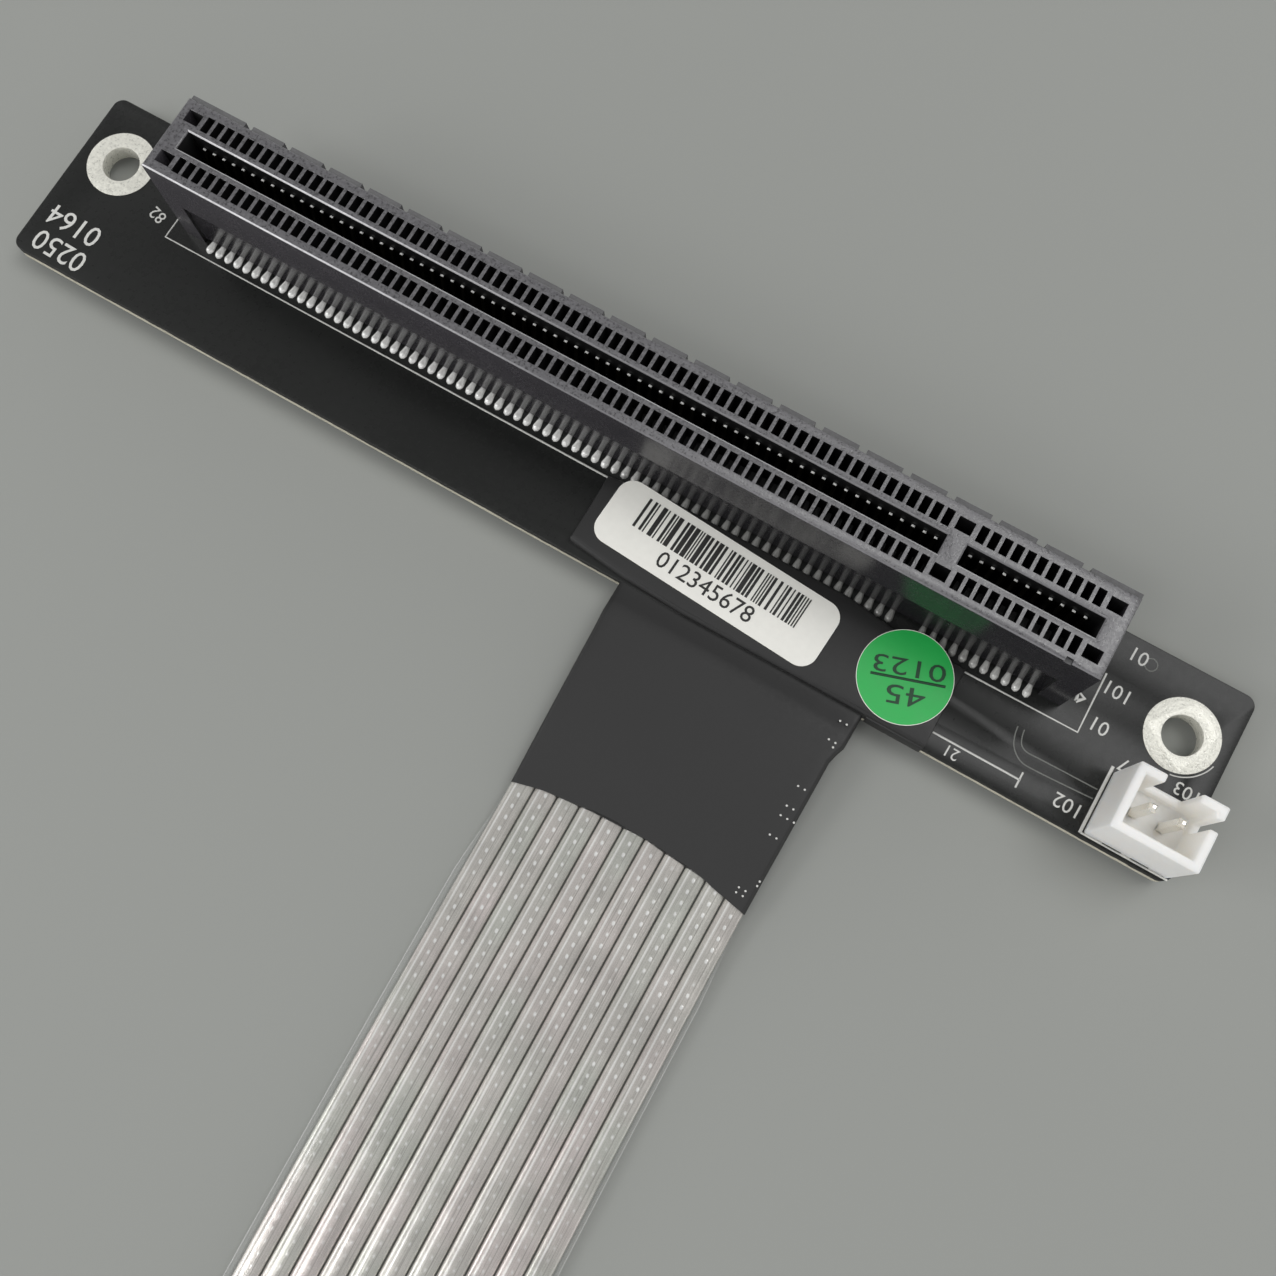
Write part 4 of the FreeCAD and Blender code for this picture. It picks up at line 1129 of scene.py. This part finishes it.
def ink_line(points, width, surface, kind="POLY"):
    """A flat line of ink through points in millimetres, on a surface at a height in metres."""
    curve = new_curve("ink_line", points, kind)
    curve.bevel_depth = width / 2
    curve.bevel_resolution = 1
    curve.use_fill_caps = True
    obj = add_object("ink_line", curve)
    activate(obj)
    bpy.ops.object.convert(target="MESH")
    obj = bpy.context.active_object
    obj.scale.z = 2 * INK_HEIGHT / width
    obj.location.z = surface
    settle(obj)
    return obj


def ink_figure(body, height, place, degrees, surface, stretch=1.0):
    """A figure of a height in millimetres, printed on a surface and drawn wider if asked."""
    deselect()
    bpy.ops.object.text_add()
    obj = bpy.context.active_object
    obj.data.body = body
    obj.data.size = height * MM / FIGURE_SHARE
    obj.data.align_x = "CENTER"
    obj.data.align_y = "CENTER"
    obj.data.extrude = INK_HEIGHT / 2
    obj.data.resolution_u = 3
    bpy.ops.object.convert(target="MESH")
    obj = bpy.context.active_object
    obj.scale.x = stretch
    obj.rotation_euler.z = math.radians(degrees)
    obj.location = (place[0] * MM, place[1] * MM, surface + INK_HEIGHT / 2)
    settle(obj)
    return obj


# %% Print the board
OUTLINES = [
    [(-46.1, 2.6), (-46.15, -1.15), (1.1, -1.15)],
    [(34.05, -1.2), (46.4, -1.1), (46.3, 4.6)],
    [(36.0, -7.05), (44.1, -7.05)],
    [(44.0, -6.35), (44.0, -7.8)],
    [(50.25, -8.44), (58.0, -8.44)],
]
HEADER_LINE = [(50.2, -2.2), (50.2, -8.5)]
RING_ARC = arc((54.0, 2.95), 3.49, -82, -18)
PIN_ONE_MARK = [(45.1, 1.2), (45.65, 1.75), (45.0, 2.05), (45.1, 1.2)]
OTHER_LINES = [(HEADER_LINE, 0.3 * MM), (RING_ARC, 0.11 * MM), (PIN_ONE_MARK, 0.36 * MM)]
FIGURES = [("82", 1.15, (-48.0, 0.35), 165), ("82", 1.15, (-47.9, 7.6), 165),
           ("01", 1.25, (47.7, 0.3), 178), ("01", 1.25, (48.0, 7.3), 178),
           ("101", 1.25, (47.8, 3.65), 178), ("102", 1.25, (48.4, -6.93), 178),
           ("21", 1.0, (38.1, -7.8), 178),
           ("17", 1.15, (51.3, -1.65), 178), ("103", 1.15, (56.4, -1.15), 178),
           ("0164", 2.0, (-54.2, -4.3), 178), ("0250", 2.0, (-53.95, -7.05), 178)]
ink = [ink_line(points, LINE_WIDTH, board_top) for points in OUTLINES]
ink += [ink_line(points, width, board_top) for points, width in OTHER_LINES]
ink += [ink_figure(body, height, place, degrees, board_top) for body, height, place, degrees in FIGURES]
board_print = join("board_print", ink)
white_ink = new_finish("white_ink", linear(214, 214, 210), 0.55, drift=0.15, patches=900.0, bump=0.1)
dress(board_print, white_ink, "label_paper")

# %% Draw the covered tracks
TRACK_WIDTH = 0.12 * MM
VIA_RING = arc((49.2, 7.1), 0.55, 0, 360)
TRACKS = [[(42.5, -3.1), (42.6, -4.1), (43.3, -4.75), (44.6, -4.65), (49.9, -4.58)],
          [(41.9, -3.1), (42.0, -4.4), (43.1, -5.6), (44.4, -5.8), (49.9, -5.45)]]
tracks = [ink_line(points, TRACK_WIDTH, board_top, "NURBS") for points in TRACKS]
tracks.append(ink_line(VIA_RING, TRACK_WIDTH, board_top))
covered_tracks = join("covered_tracks", tracks)
track_mask = new_finish("track_mask", linear(112, 114, 110), 0.3, drift=0.2, bump=0.05)
dress(covered_tracks, track_mask, "board")

# %% [markdown]
# ## Label and sticker
#
# A white label with a bar code and plain figures sits on the tape, and beside it a round green sticker.
# Bars drawn by a texture would blur close up, so each bar is a thin box of its own.

# %% Print the label
label_paper = new_finish("label_paper", linear(250, 249, 242), 0.42, drift=0.08, patches=200.0,
                         grain=1800.0, bump=0.05)
black_print = new_finish("black_print", linear(34, 33, 31), 0.5, drift=0.3, patches=900.0, bump=0.1)
repaint("barcode_label", label_paper)
LABEL_TURN = -3.8
BARS_LEFT, BARS_RIGHT = -8.3, 8.7
BARS_LOW, BARS_HIGH = -0.5, 2.4
BARS_SPARE = 0.6
BAR_WIDTHS = (0.12, 0.12, 0.24, 0.24, 0.42)
BAR_GAPS = (0.12, 0.14, 0.24, 0.36)
DIGITS_PLACE = (-0.05, -1.7)
DIGITS_HEIGHT = 1.5
label_low, label_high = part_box("barcode_label")
label_middle = (label_low + label_high) / 2
label_turn = Matrix.Rotation(math.radians(LABEL_TURN), 4, "Z")
draws = random.Random(11)
bars = []
left = BARS_LEFT
while left < BARS_RIGHT - BARS_SPARE:
    wide = draws.choice(BAR_WIDTHS)
    bars.append(add_box("bar", Vector((left, BARS_LOW, 0)) * MM,
                        Vector((left + wide, BARS_HIGH, INK_HEIGHT / MM)) * MM))
    left += wide + draws.choice(BAR_GAPS)
bars.append(ink_figure("012345678", DIGITS_HEIGHT, DIGITS_PLACE, 0.0, 0.0))
label_print = join("label_print", bars)
label_middle.z = label_high.z
label_print.matrix_world = Matrix.Translation(label_middle) @ label_turn
settle(label_print)
dress(label_print, black_print, "label_paper")

# %% Print the sticker
green_paper = new_finish("green_paper", linear(30, 184, 82), 0.4, drift=0.1, patches=250.0,
                         grain=1500.0, bump=0.06)
PAPER_RIM = 0.05 * MM
sticker = merged_copy("inspection_sticker", "round_sticker")
with editing(sticker):
    pick(sticker, "FACE", lambda f: f.normal.z > 0.9)
    bpy.ops.mesh.inset(thickness=PAPER_RIM)
dress(sticker, green_paper, "green_paper", "inspection_sticker")
widest = max(face.area for face in sticker.data.polygons)
second_finish(sticker, label_paper, lambda face: face.area < widest / 2)
sticker_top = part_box("inspection_sticker")[1].z
green_print = new_finish("green_print", linear(16, 66, 38), 0.5, drift=0.2, bump=0.05)
STICKER_LINE = [(29.1, -5.35), (35.1, -3.35)]
STICKER_LINE_WIDTH = 0.24 * MM
STICKER_TURN = 198.4
STICKER_FIGURES = [("0123", 1.5, (31.68, -3.34), 1.5), ("45", 1.65, (32.46, -5.63), 1.5)]
sticker_ink = [ink_line(STICKER_LINE, STICKER_LINE_WIDTH, sticker_top)]
for body, height, place, stretch in STICKER_FIGURES:
    sticker_ink.append(ink_figure(body, height, place, STICKER_TURN, sticker_top, stretch))
sticker_print = join("sticker_print", sticker_ink)
dress(sticker_print, green_print, "green_paper")

# %% [markdown]
# Small white dots are printed along the right edge of the sleeve. They are tiny flat discs that sit on
# the tape, each lowered to the height of the sleeve where it lies.

# %% Print dots on the sleeve
DOT_ROWS = [(28.87, -10.14, 2), (28.79, -11.94, 2), (29.41, -12.36, 1), (28.45, -16.56, 2),
            (28.42, -18.42, 2), (28.36, -19.35, 3), (28.36, -21.16, 2), (29.5, -24.96, 1),
            (29.5, -25.4, 1), (28.25, -26.24, 2), (28.25, -26.72, 2)]
DOT_STEP = 0.62
DOT_RADIUS = 0.1 * MM
DOT_FLAT = 0.15
SLEEVE_TOP = 0.7 * MM
dots = []
for first, deep, count in DOT_ROWS:
    centre, across, out = cable_place(cable_line[0].y - deep * MM)
    for number in range(count):
        deselect()
        bpy.ops.mesh.primitive_uv_sphere_add(segments=8, ring_count=4, radius=DOT_RADIUS)
        dot = bpy.context.active_object
        dot.scale.z = DOT_FLAT
        wide = (first + DOT_STEP * number) * MM - centre.x
        dot.location = centre + across * wide + out * SLEEVE_TOP
        settle(dot)
        dots.append(dot)
sleeve_dots = join("sleeve_dots", dots)
smooth(sleeve_dots, 80.0)
dress(sleeve_dots, white_ink, "label_paper")

# %% [markdown]
# ## Floor and light
#
# The object lies on a plain pale table. A sky, brighter near the horizon, gives most of the light.
# A soft lamp behind gives the board's right end its sheen, a small one in front puts the sparkle on
# solder and contact tips, and a low one lights the near and left walls. Together they keep a level at
# which a colour shows about as it was written.

# %% Lay the floor
FLOOR_SIZE = 3.0
FLOOR_DROP = 0.02 * MM
deselect()
bpy.ops.mesh.primitive_plane_add(size=FLOOR_SIZE, location=(0, 0, -FLOOR_DROP))
floor = bpy.context.active_object
floor.name = "floor"
settle(floor)
floor_grey = new_finish("floor_grey", linear(156, 158, 154), 0.7, drift=0.02, bump=0.0)
floor.data.materials.append(floor_grey)
print("floor:", FLOOR_SIZE, "m wide")

# %% Hang the lamps
LAMPS = [("back_lamp", (0.3, 0.3, 0.9), 0.5, 0.5, 2.8),
         ("front_lamp", (-0.2, -0.45, 0.85), 0.3, 0.15, 0.9),
         ("low_lamp", (-0.65, -0.5, 0.6), 0.6, 0.3, 2.2)]
for name, place, wide, tall, watts in LAMPS:
    lamp_data = bpy.data.lights.new(name, "AREA")
    lamp_data.shape = "RECTANGLE"
    lamp_data.size = wide
    lamp_data.size_y = tall
    lamp_data.energy = watts
    lamp = add_object(name, lamp_data)
    lamp.location = place
    lamp.rotation_euler = (-Vector(place)).to_track_quat("-Z", "Y").to_euler()

print("lamps:", len(LAMPS))

# %% Make the sky
SKY_HORIZON, SKY_ABOVE = 1.9, 0.38
HORIZON_REACH = 0.4
world = bpy.data.worlds.new("soft_sky")
world.use_nodes = True
tree = world.node_tree
sky = ramp(tree, split_place(tree, "Generated")["Z"], 0.0, HORIZON_REACH, SKY_HORIZON, SKY_ABOVE)
tree.nodes["Background"].inputs["Color"].default_value = (1, 1, 1, 1)
tree.links.new(sky, tree.nodes["Background"].inputs["Strength"])
bpy.context.scene.world = world
bpy.context.scene.view_settings.view_transform = "Standard"
print("sky strength:", SKY_HORIZON, "to", SKY_ABOVE)
